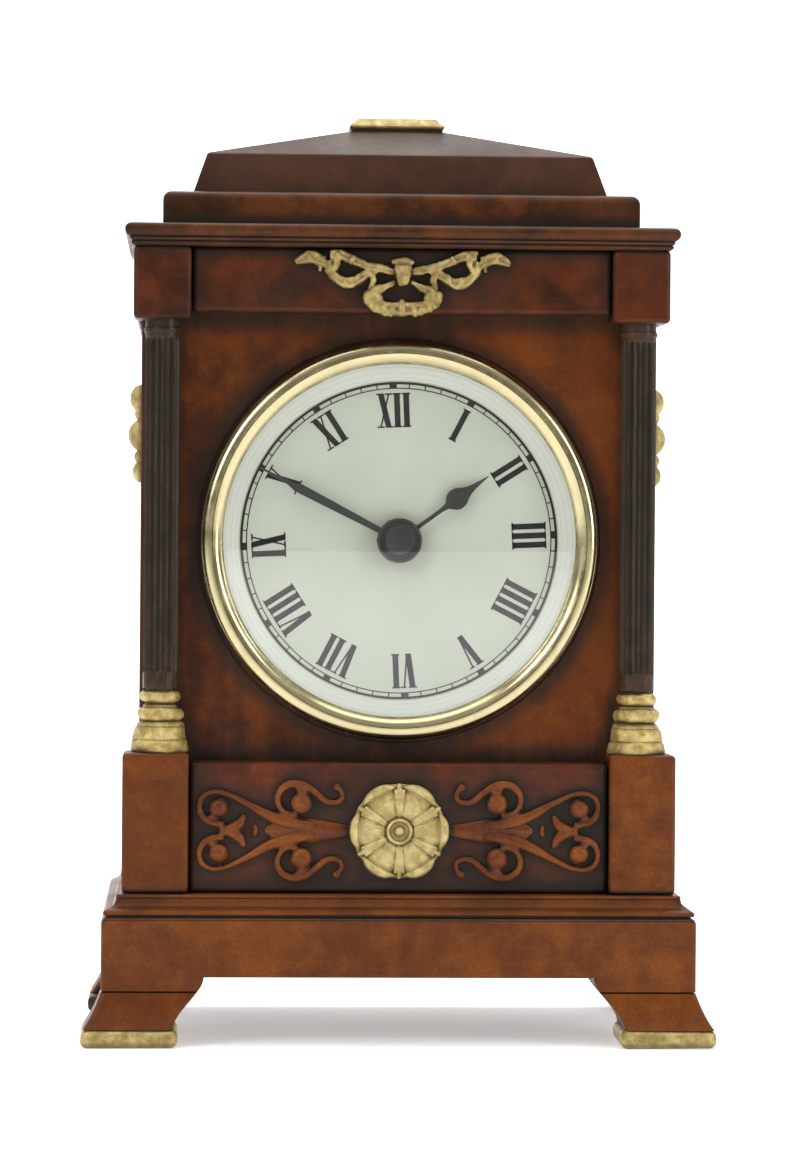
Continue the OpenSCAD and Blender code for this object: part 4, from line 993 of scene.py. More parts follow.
@dataclass
class Case:
    """The lacquered carcase: feet, plinth, mouldings, panels, blocks, cornice and roof."""

    stock: Stock
    edge: float = 1.1
    bead_r: float = 0.7
    cove_r: float = 2.5
    nose_r: float = 1.8
    foot_steps: int = 22
    flare: float = 4.4
    toe: float = 7.7
    neck_drop: float = 3.2
    neck_groove: float = 0.8
    band_w: float = 24.6
    rear_trim: float = 9.0
    frieze_fill: float = 1.2
    roof_lean: float = 3.7
    eave_share: float = 10.9 / 18.4
    shell: float = 10.0
    shell_depth: float = 13.5

    def slab(self, name: str, low: Vector, high: Vector, profile: list[Point],
             flat_back: bool = True) -> bpy.types.Object:
        """A slab with mitred mouldings.

        Args:
            name: Its name.
            low: Lowest corner of its body without the mouldings, in millimetres.
            high: Highest corner of its body.
            profile: Overhang and height above the foot of each level.
            flat_back: True if the back is plain.

        Returns:
            The slab.
        """
        rings = [Ring(low.x - u, high.x + u, low.y - u, high.y + (0 if flat_back else u), low.z + v)
                 for u, v in profile]
        return Bench.soften(Bench.stack(name, rings), 0.35, 2, 50)

    def block(self, node: str, finish: Finish, slot: str = "case_red", body: str = "case") -> None:
        """A plain block with softened edges in place of a node."""
        low, high = box_mm(node)
        if node == "frieze_panel":
            low.x, high.x = low.x - self.frieze_fill, high.x + self.frieze_fill
        ease = min(self.edge, (high.z - low.z) / 6)
        rings = [Ring(low.x, high.x, low.y, high.y, z)
                 for z in (low.z, low.z + 2 * ease, high.z - 2 * ease, high.z)]
        piece = Bench.soften(Bench.stack(f"{node}_block", rings), ease)
        self.stock.place(piece, finish, slot, body, (node,))

    def foot_levels(self, low: Vector, high: Vector, left: bool, rear: bool) -> list[Ring]:
        """Levels of one foot: a curved toe, a flaring face and a groove below its neck.

        Args:
            low: Lowest corner of the foot, in millimetres.
            high: Highest corner of the foot.
            left: True for a foot on the left.
            rear: True for a rear foot, which flares only to its side.

        Returns:
            The levels, from the floor up.
        """
        width = (high.x - low.x) - self.flare
        depth = (high.y - low.y) - (0 if rear else self.flare)
        tall = high.z - low.z
        neck = high.z - self.neck_drop
        mid, sill = neck - self.neck_groove / 2, neck - self.neck_groove
        heights = [low.z + tall * i / self.foot_steps for i in range(self.foot_steps + 1)]
        rings = []
        for z in sorted(heights + [neck + 0.5, neck, mid, sill, sill - 0.5]):
            share = (z - low.z) / tall
            inner = self.toe * (1 - share * share * (3 - 2 * share))
            outer = 0.0
            if z < sill:
                drop = (sill - z) / (sill - low.z)
                outer = self.flare * (0.75 * drop + 0.25 * drop ** 3)
            elif abs(z - mid) < 0.05:
                outer = -self.neck_groove
            reach, back = width - inner, depth - inner
            x_face = (low.x + self.flare) if left else (high.x - self.flare)
            x0, x1 = (x_face - outer, x_face + reach) if left else (x_face - reach, x_face + outer)
            y_face = low.y + self.flare
            y0, y1 = (high.y - back, high.y) if rear else (y_face - outer, y_face + back)
            rings.append(Ring(x0, x1, y0, y1, z))
        return rings

    def feet(self) -> None:
        """Four bracket feet."""
        for node in ("foot_front_left", "foot_front_right", "foot_rear_left", "foot_rear_right"):
            rings = self.foot_levels(*box_mm(node), "left" in node, "rear" in node)
            piece = Bench.stack(f"{node}_bracket", rings)
            Bench.ease_edges(piece, lambda a, b: abs(a.z - b.z) > 0.05, self.edge, 4)
            Bench.shade(piece, 30)
            self.stock.place(piece, LOWER_RED, "case_red", "case", (node,))

    def foot_bands(self) -> None:
        """Shoes with rounded corners under the feet, gilt at the front."""
        low, high = box_mm("foot_bands")
        size = self.band_w
        parts: tuple[list, list] = ([], [])
        for left in (False, True):
            for rear in (False, True):
                wide = size - (self.rear_trim if rear else 0.0)
                x0 = low.x if left else high.x - wide
                y0 = high.y - size if rear else low.y
                rings = [Ring(x0, x0 + wide, y0, y0 + size, z) for z in (low.z, high.z)]
                shoe = Bench.stack("shoe", rings)
                Bench.ease_edges(shoe, lambda a, b: abs(a.z - b.z) > 1, 2.2, 6)
                parts[rear].append(Bench.soften(shoe, 1.9, 5, 40))
        piece = Bench.join("foot_shoes_front", parts[0])
        Bench.roughen(piece, 0.7, 7.0)
        self.stock.place(piece, GILT_PLAIN, "gilt_paint", "case", ("foot_bands",))
        self.stock.place(Bench.join("foot_shoes_rear", parts[1]), PANEL_DARK, "case_red")

    def plinth(self) -> None:
        """The plain band above the feet, open below."""
        low, high = box_mm("plinth")
        rings = [Ring(low.x, high.x, low.y, high.y, z) for z in (low.z, high.z - 0.5)]
        rings.append(Ring(low.x + 0.5, high.x - 0.5, low.y + 0.5, high.y, high.z))
        piece = Bench.stack("plinth_band", rings)
        Bench.ease_edges(piece, lambda a, b: abs(a.z - b.z) > 0.3, self.edge, 4)
        Bench.select(piece, "FACE", lambda c, n: n.z < -0.9)
        bpy.ops.mesh.inset(thickness=self.shell * MM, depth=0)
        bpy.ops.mesh.extrude_region_move(TRANSFORM_OT_translate={"value": (0, 0, self.shell_depth * MM)})
        Bench.leave()
        Bench.shade(piece, 35)
        self.stock.place(piece, LOWER_RED, "case_red", "case", ("plinth",))

    def base_moulding(self) -> None:
        """Groove, bead, cove and bead that climb from the plinth to the pedestals."""
        low, high = box_mm("base_moulding")
        body_low = box_mm("pedestal_left")[0]
        overhang = body_low.x - low.x
        height = high.z - low.z
        half = -body_low.x
        bead = arc((overhang - 0.9, 1.65), self.bead_r, -70, 70, 6)
        cove = arc((overhang - 0.9, 5.1), self.cove_r, 260, 180, 8)
        top = arc((0.7, height - 0.6), 0.6, -60, 70, 5)
        profile = [(overhang, 0.0), (overhang - 0.3, 0.35), (overhang - 1.3, 0.5),
                   (overhang - 1.3, 0.95), *bead, *cove, *top, (0.2, height)]
        piece = self.slab("base_moulding_run", Vector((-half, body_low.y, low.z)),
                          Vector((half, high.y, high.z)), profile)
        self.stock.place(piece, LOWER_RED, "case_red", "case", ("base_moulding",))

    def cornice(self) -> None:
        """Bead, cove and rounded nose under the top step."""
        low, high = box_mm("cornice")
        block_low, block_high = box_mm("corner_block_right")
        half = block_high.x
        nose = high.z - low.z - 2 * self.nose_r
        reach = high.x - half - self.nose_r
        profile = [(0.0, 0.0), *arc((0.1, 0.75), 0.55, -80, 80, 5),
                   *arc((0.1, nose - 0.1), 0.9, -80, 0, 4),
                   *arc((reach, nose + self.nose_r), self.nose_r, -90, 90, 10)]
        piece = self.slab("cornice_run", Vector((-half, block_low.y, low.z)),
                          Vector((half, high.y, high.z)), profile)
        self.stock.place(piece, TOP_RED, "case_red", "case", ("cornice",))

    def top(self) -> None:
        """Step with a rounded top edge, and the hipped roof."""
        low, high = box_mm("top_step")
        tall = high.z - low.z
        profile = [(-0.6, 0.0), (0.0, 0.6), *arc((-2.4, tall - 2.4), 2.4, 0, 90, 7)]
        piece = self.slab("top_step_slab", low, high, profile, flat_back=False)
        self.stock.place(piece, TOP_RED, "case_red", "case", ("top_step",))
        low, high = box_mm("roof")
        cap_low, cap_high = box_mm("roof_cap")
        lean, eave_z = self.roof_lean, low.z + (high.z - low.z) * self.eave_share
        rings = [Ring(low.x + u, high.x - u, low.y + u, high.y - u, z)
                 for u, z in ((0.0, low.z), (lean * 0.97, eave_z - 0.3), (lean + 0.4, eave_z + 0.1))]
        rings.append(Ring(cap_low.x, cap_high.x, cap_low.y, cap_high.y, high.z))
        piece = Bench.soften(Bench.stack("roof_hip", rings), 0.4, 2, 12)
        self.stock.place(piece, ROOF_RED, "case_red", "case", ("roof",))

    def cap(self) -> None:
        """Gilt plate with a rolled edge on a dark neck."""
        low, high = box_mm("roof_cap")
        neck = 0.8
        tall = (high.z - low.z) - neck
        profile = [(-1.3, neck), (-0.5, neck + 0.3), (-0.4, neck + 0.9), (-0.9, neck + 1.5),
                   (-1.7, neck + 2.0), (-2.6, neck + tall)]
        piece = self.slab("cap_plate", low, high, profile, flat_back=False)
        Bench.roughen(piece, 0.12, 6.0)
        self.stock.place(piece, GILT_PLAIN, "gilt_paint", "case", ("roof_cap",))
        rings = [Ring(low.x + u, high.x - u, low.y + u, high.y - u, z)
                 for u, z in ((0.8, low.z - 0.2), (1.2, low.z + neck + 0.2))]
        neck_piece = Bench.soften(Bench.stack("cap_neck", rings), 0.15, 2)
        self.stock.place(neck_piece, PANEL_DARK, "case_dark")

    def side_rails(self) -> None:
        """Rails along the sides, each with softened edges."""
        low, high = box_mm("side_rails")
        ped_low, ped_high = box_mm("pedestal_right")
        block_low, block_high = box_mm("corner_block_right")
        wall_x = box_mm("side_panel_right")[1].x
        parts = []
        for proud, z0, z1 in ((high.x - wall_x, ped_low.z, ped_high.z),
                              ((high.x - wall_x) / 2, block_low.z, block_high.z)):
            rings = [Ring(wall_x, wall_x + proud, low.y, high.y, z) for z in (z0, z1)]
            rail = Bench.soften(Bench.stack("rail", rings), self.edge)
            parts += [rail, Bench.mirrored(rail, "rail_left")]
        self.stock.place(Bench.join("side_rail_set", parts), SIDE_RED, "case_red", "case", ("side_rails",))

    def build(self) -> None:
        """Models and dresses the whole case."""
        self.feet()
        self.foot_bands()
        self.plinth()
        self.base_moulding()
        for node in ("pedestal_left", "pedestal_right"):
            self.block(node, LOWER_RED)
        for node in ("side_panel_left", "side_panel_right"):
            self.block(node, SIDE_RED)
        self.side_rails()
        self.block("lower_panel", RELIEF_RED, "case_dark")
        self.block("frieze_panel", UPPER_RED)
        for node in ("corner_block_left", "corner_block_right"):
            self.block(node, UPPER_RED)
        self.cornice()
        self.top()
        self.cap()
        self.stock.dress("front_panel", PANEL_RED)
        self.block("rear_door", PANEL_DARK, "case_dark", "door")


@dataclass
class Columns:
    """Two fluted columns on gilt bases."""

    stock: Stock
    flutes: int = 16
    per_flute: int = 8
    valley: float = 0.86
    shoulder: float = 0.90
    sides: tuple[str, str] = ("left", "right")

    def shaft(self, side: str, finish: Finish) -> None:
        """A shaft whose flutes fade out at both ends, with a ring below its top."""
        node = f"column_{side}"
        low, high = box_mm(node)
        centre = (low + high) / 2
        radius = (high.x - low.x) / 2 - 0.5
        count = self.flutes * self.per_flute
        Bench.clear()
        bpy.ops.mesh.primitive_circle_add(vertices=count, radius=radius * MM, fill_type="NGON",
                                          location=Vector((centre.x, centre.y, low.z)) * MM)
        obj = bpy.context.object
        bpy.ops.object.mode_set(mode="EDIT")
        bpy.ops.mesh.select_all(action="SELECT")
        fluted = high.z - low.z - 11.5
        levels = [(4.0, 1.0), (0.6, 1.0), (0.9, 1.0), (fluted, 1.0), (0.9, 1.0), (0.6, 1.0), (1.0, 1.0),
                  (0.15, 1.05), (0.5, 1.02), (0.6, 0.98), (0.2, 0.95), (2.05, 1.0)]
        for rise, scale in levels:
            bpy.ops.mesh.extrude_region_move(TRANSFORM_OT_translate={"value": (0, 0, rise * MM)})
            z = max((obj.matrix_world @ v.co).z for v in obj.data.vertices)
            if scale != 1.0:
                middle = Vector((centre.x * MM, centre.y * MM, z))
                bpy.ops.transform.resize(value=(scale, scale, 1), center_override=middle)
        Bench.leave()
        bottom, top = low.z + 4.3, low.z + fluted + 6.7
        pitch = 360.0 / self.flutes

        def off_ridge(at: Vector) -> float:
            """Share of a flute's half width from its ridge, 1 in its valley."""
            angle = math.degrees(math.atan2(at.y - centre.y, at.x - centre.x)) % pitch
            return 1 - abs(angle - pitch / 2) / (pitch / 2)

        for least, most, scale in ((0.9, 1.1, self.valley), (0.65, 0.9, self.valley + 0.02),
                                   (0.4, 0.65, self.shoulder + 0.03), (0.15, 0.4, 0.96)):
            Bench.select(obj, "VERT", lambda at: bottom < at.z < top and least <= off_ridge(at) < most)
            middle = Vector((centre.x, centre.y, (bottom + top) / 2)) * MM
            bpy.ops.transform.resize(value=(scale, scale, 1), center_override=middle)
            Bench.leave()
        piece = Bench.close(obj, f"{node}_shaft", 30)
        self.stock.place(piece, finish, "column_black", "case", (node,))

    def base(self, side: str) -> None:
        """Gilt base: creased bell, ring, hollow and torus."""
        node = f"column_base_{side}"
        low, high = box_mm(node)
        centre = (low + high) / 2
        r = (high.x - low.x) / 2
        tall = high.z - low.z
        profile = [(0, 0), (r, 0), (r + 0.25, 0.6), (r - 0.1, 2.1), (r - 0.3, 2.9), (r - 0.65, 3.2),
                   (r - 0.45, 3.7), (r - 0.8, 5.2), (r - 1.0, 6.2), (r - 1.4, 6.5), (r - 1.25, 7.0),
                   (r - 1.75, 7.6), *arc((r - 3.0, 9.8), 1.75, -75, 80, 9), (r - 2.7, 12.0),
                   *arc((r - 3.7, 14.1), 1.6, -80, 90, 9), (r - 4.0, tall), (0, tall)]
        piece = Bench.lathe(f"{node}_turned", profile, (centre.x, centre.y, low.z), steps=72, smooth=50)
        Bench.roughen(piece, 1.3, 4.5)
        self.stock.place(piece, GILT, "gilt_paint", "case", (node,))

    def build(self) -> None:
        """Models and dresses both columns."""
        centres = []
        for side in self.sides:
            low, high = box_mm(f"column_{side}")
            centres.append(((low.x + high.x) / 2, (low.y + high.y) / 2))
        low, high = box_mm("column_left")
        finish = FlutedLacquer("fluted_lacquer", axes=tuple(centres), ridge_r=4.5, valley_r=3.9,
                               low_z=low.z, high_z=low.z + 38)
        for side in self.sides:
            self.shaft(side, finish)
            self.base(side)


# ------------------------------------------------------------------ ornaments


@dataclass
class Ornaments:
    """Gilt castings and carved scrolls."""

    stock: Stock
    petals: int = 6
    voxel: float = 0.28

    @staticmethod
    def _on_face(node: str, centre: Point):
        """A function that lays sketch points on a panel's face.

        Args:
            node: The panel.
            centre: X and Z of the sketch's centre, in millimetres.

        Returns:
            Function of x, y and distance from the face.
        """
        face_y = box_mm(node)[0].y

        def lay(x: float, y: float, out: float = 0.0) -> Point3:
            """One sketch point in the clock's frame."""
            return (centre[0] + x, face_y - out, centre[1] + y)

        return lay

    def scrolls(self) -> None:
        """Carved scrolls beside the rosette: stem, tendrils, volutes, bud and curls."""
        low, high = box_mm("rosette")
        middle = (low.z + high.z) / 2
        lay = self._on_face("lower_panel", (0.0, middle))
        stem = ([(22, 1.0, 0.5), (28, 2.0, 0.7), (33.5, 3.7, 0.8), (40, 7.5, 1.0), (46, 10.1, 1.0),
                 (50.2, 9.3, 1.0), (51.5, 6.2, 1.0), (50.4, 3.2, 1.0), (47.6, 1.9, 1.0), (45.0, 1.5, 1.0)],
                [1.4, 2.0, 1.5, 0.75, 0.7, 0.75, 0.85, 1.05, 1.15, 1.1])
        outer_leaf = ([(49.2, 2.4, 1.0), (47.6, 3.6, 1.1), (46.6, 5.2, 1.2)], [0.7, 1.0, 1.3])
        outer_curl = ([(44.4, 6.2, 1.0), (44.6, 7.9, 1.0), (46.4, 8.1, 1.0)], [0.7, 0.6, 0.45])
        tendril = ([(15.8, 11.3, 0.9), (14.3, 9.6, 0.9), (15.2, 7.3, 0.9), (18.6, 7.1, 0.9), (21.4, 9.7, 1.0),
                    (24.8, 12.0, 1.1), (28.8, 12.1, 1.1), (31.4, 9.4, 1.1), (31.1, 6.0, 1.1),
                    (28.8, 4.1, 1.1), (26.2, 4.2, 1.1)],
                   [0.7, 0.7, 0.75, 0.85, 1.0, 1.15, 1.1, 0.85, 0.8, 0.8, 0.7])
        inner_leaf = ([(26.4, 11.4, 1.0), (25.0, 10.4, 1.1), (24.6, 8.6, 1.2)], [0.8, 1.2, 1.4])
        bud = ([(43.6, 0.3, 0.9), (41.6, 1.0, 1.0), (40.4, 2.4, 1.0), (39.7, 4.2, 0.9)],
               [1.4, 1.5, 1.15, 0.6])
        parts = []
        for s in (1, -1):
            parts += [Bench.stroke([lay(x, y * s, out) for x, y, out in points], radii)
                      for points, radii in (stem, outer_leaf, outer_curl, tendril, inner_leaf, bud)]
            parts += [Bench.blob(lay(46.4, 5.7 * s, 1.2), (2.5, 2.0, 2.4)),
                      Bench.blob(lay(16.0, 11.2 * s, 1.0), (1.05, 0.9, 1.05)),
                      Bench.blob(lay(25.1, 7.1 * s, 1.2), (2.7, 2.1, 2.9), -0.3 * s)]
        spine = [(12.6, 0.2), (18, 0.4), (24, 0.5), (29, 0.4), (32.5, 0.2), (34.6, 0.0)]
        parts.append(Bench.stroke([lay(x, 0, out) for x, out in spine], [1.5, 2.6, 3.6, 3.8, 2.6, 0.7], 0.34))
        parts.append(Bench.stroke([lay(37.2, 1.5, 0.6), lay(36.3, 0.0, 0.7), lay(37.2, -1.3, 0.6)],
                                  [0.5, 0.9, 0.5]))
        parts.append(Bench.blob(lay(43.4, 0, 0.8), (3.0, 1.2, 1.6)))
        right = Bench.fuse("carved_scrolls_right", parts, self.voxel, 3)
        left = Bench.mirrored(right, "carved_scrolls_left")
        self.stock.place(right, CARVED_ORANGE, "case_red", "case", ("scroll_carvings",))
        self.stock.place(left, CARVED_ORANGE, "case_red")

    def rosette(self) -> None:
        """Gilt flower with rolled petals, sepals between them and a ringed button."""
        low, high = box_mm("rosette")
        centre = (low + high) / 2
        lay = self._on_face("lower_panel", (centre.x, centre.z))
        parts = [Bench.blob(lay(0, 0, 0.5), (12.2, 1.7, 12.2))]
        for index in range(self.petals):
            turn = index * FULL_TURN / self.petals
            away = (math.cos(turn), math.sin(turn))
            side = (-away[1], away[0])

            def spot(out: float, across: float, rise: float) -> Point3:
                """A point of this petal."""
                return lay(away[0] * out + side[0] * across, away[1] * out + side[1] * across, rise)

            parts.append(Bench.blob(spot(7.6, 0, 1.5), (4.4, 1.1, 4.4)))
            curled_lip = ([(10.2, 4.6, 1.4), (11.3, 2.9, 2.3), (11.7, 0.0, 2.6), (11.3, -2.9, 2.3),
                           (10.2, -4.6, 1.4)], [0.4, 1.1, 1.3, 1.1, 0.4])
            rims = [([(3.6, 1.6 * e, 2.4), (6.8, 3.2 * e, 2.7), (9.8, 4.4 * e, 2.4)], [0.35, 0.42, 0.4])
                    for e in (1, -1)]
            veins = [([(3.6, a * 0.5, 2.2), (6.6, a * 1.1, 2.45), (9.0, a * 1.5, 2.2)], [0.25, 0.34, 0.2])
                     for a in (-1.6, -0.5, 0.6, 1.7)]
            parts += [Bench.stroke([spot(*point) for point in points], radii)
                      for points, radii in (curled_lip, *rims, *veins)]
            half = turn + math.pi / self.petals
            tip = (math.cos(half), math.sin(half))
            sepal = [(3.4, 2.2), (7, 2.5), (10.4, 2.0), (12.1, 1.2)]
            parts.append(Bench.stroke([lay(tip[0] * out, tip[1] * out, rise) for out, rise in sepal],
                                      [0.4, 0.6, 0.95, 0.5], 0.9))
        casting = Bench.fuse("rosette_flower", parts, 0.17, 1)
        collar = Bench.lathe("rosette_collar", [(0, 1.0), (3.4, 1.0), *arc((2.95, 3.1), 0.4, -60, 200, 10),
                                                (2.4, 2.6), (1.6, 2.5), *arc((0, 2.1), 1.5, 20, 90, 6)],
                             (centre.x, lay(0, 0, 0)[1], centre.z), "FRONT", 48)
        piece = Bench.join("rosette_casting", [casting, collar])
        self.stock.place(piece, GILT_BRIGHT, "gilt_paint", "case", ("rosette",))

    def swag(self) -> None:
        """Gilt ribbon: a pleated knot, two loops with curled tails and a hanging garland."""
        low, high = box_mm("swag_mount")
        middle = (low.z + high.z) / 2
        lay = self._on_face("frieze_panel", (0.0, middle))
        parts = []
        for s in (1, -1):
            upper = [(2.4, 3.5), (5.4, 4.1), (8.4, 4.6), (11.2, 5.6), (14.4, 7.2), (17.0, 8.1), (18.8, 7.6)]
            lower = [(18.9, 5.6), (19.0, 3.8), (17.0, 1.4), (14.1, 0.2), (11.6, 1.4), (9.3, 3.0), (6.9, 3.9)]
            wreath = [(2.0, 1.0), (5.2, -0.8), (7.6, -1.9), (8.5, -3.6), (7.2, -4.9), (5.2, -5.9),
                      (2.8, -6.1), (0, -6.1)]
            tail = [(19.6, 5.2), (21.4, 6.4), (23.4, 7.2), (25.6, 6.8), (27.6, 5.6)]
            for points, radii, rise in (
                    (upper, [0.8, 1.1, 1.2, 1.15, 1.2, 1.35, 1.4], 1.5),
                    (lower, [1.25, 1.35, 1.2, 1.4, 1.2, 1.3, 1.0], 1.5),
                    (wreath, [0.4, 1.0, 1.7, 1.9, 1.8, 1.8, 1.75, 1.8], 1.5),
                    (tail, [1.0, 1.6, 1.7, 1.5, 0.8], 1.3)):
                parts.append(Bench.stroke([lay(x * s, y, rise) for x, y in points], radii, 0.85))
                for offset in (-0.5, 0.55):
                    ridge = [lay(x * s, y + offset * r, rise + 0.55 * r) for (x, y), r in zip(points, radii)]
                    parts.append(Bench.stroke(ridge, [0.42 * r + 0.05 for r in radii]))
            folds = (([(18.2, 7.6, 1.8), (16.9, 6.2, 2.3), (17.5, 4.2, 2.1), (18.4, 2.8, 1.8)],
                      [0.9, 1.0, 0.9, 0.6]),
                     ([(8.8, 3.6, 2.2), (7.6, 1.9, 2.3), (7.9, 0.2, 1.9), (8.6, -1.0, 1.5)],
                      [0.7, 0.95, 0.9, 0.5]),
                     ([(20.4, 7.4, 1.4), (21.0, 5.6, 1.8), (21.4, 3.5, 1.3)], [0.9, 0.9, 0.35]))
            parts += [Bench.stroke([lay(x * s, y, out) for x, y, out in points], radii)
                      for points, radii in folds]
            for x, z, lean, r in ((9.0, -3.2, 0.1, 1.1), (6.9, -2.7, 0.8, 1.1), (6.6, -5.2, -0.5, 1.1),
                                  (7.3, -4.6, -0.8, 1.1), (5.0, -6.0, 0.45, 1.2), (2.7, -6.2, -0.35, 1.1)):
                parts.append(Bench.blob(lay(x * s, z, 2.1), (r * 1.15, 1.5, 2.0), lean * s))
            for x in (0.45, 1.3):
                pleat = [(x * 1.35, 5.0, 2.9), (x * 1.2, 2.8, 3.2), (x * 0.55, 0.0, 2.2)]
                parts.append(Bench.stroke([lay(a * s, b, out) for a, b, out in pleat], [0.42, 0.5, 0.3]))
        knot = [(5.2, 1.8), (2.8, 1.8), (0.6, 1.5), (-0.2, 1.3)]
        parts.append(Bench.stroke([lay(0, y, out) for y, out in knot], [2.4, 2.3, 1.3, 0.5], 0.8))
        parts.append(Bench.stroke([lay(-2.8, 5.9, 1.8), lay(0, 6.3, 2.4), lay(2.8, 5.9, 1.8)],
                                  [0.7, 1.4, 0.7]))
        parts.append(Bench.blob(lay(-0.2, -5.8, 2.6), (1.15, 1.2, 2.0)))
        for x, z, lean in ((14.6, 0.5, 0.5), (11.8, 1.9, -0.6), (16.6, 7.6, 0.4), (13.0, 6.5, -0.5),
                           (24.0, 7.0, 0.6)):
            for s in (1, -1):
                parts.append(Bench.blob(lay(x * s, z, 2.4), (0.8, 0.9, 1.35), lean * s))
        piece = Bench.fuse("swag_casting", parts, 0.17, 1)
        Bench.roughen(piece, 0.75, 2.4)
        self.stock.place(piece, GILT_DARK, "gilt_paint", "case", ("swag_mount",))

    def drops(self) -> None:
        """Gilt chains of husks on the sides."""
        low, high = box_mm("side_drops")
        wall = box_mm("side_panel_right")[1].x
        depth = (low.y + high.y) / 2
        husks = ((3.4, 3.6, 3.3), (7.4, 1.9, 2.1), (13.0, 4.1, 3.7), (18.6, 1.8, 2.2), (22.6, 2.8, 2.6))
        parts = []
        for drop, tall, proud in husks:
            z = high.z - drop
            parts.append(Bench.blob((wall + 0.1, depth, z), (proud - 0.4, tall * 0.75, tall)))
            for side in (-1, 0, 1):
                crest = wall + (proud - 0.7) * (1 - 0.3 * abs(side))
                parts.append(Bench.stroke(
                    [(wall + 0.4, depth + side * tall * 0.3, z + tall * 0.85),
                     (crest, depth + side * tall * 0.42, z + tall * 0.1),
                     (wall + 0.5, depth + side * tall * 0.1, z - tall * 0.95)], [0.35, 0.6, 0.25]))
        right = Bench.fuse("husk_chain_right", parts, 0.25, 2)
        left = Bench.mirrored(right, "husk_chain_left")
        self.stock.place(right, GILT_PLAIN, "gilt_paint", "case", ("side_drops",))
        self.stock.place(left, GILT_PLAIN, "gilt_paint")

    def build(self) -> None:
        """Models and dresses every ornament."""
        self.scrolls()
        self.rosette()
        self.swag()
        self.drops()


# ------------------------------------------------------------------ dial and hands


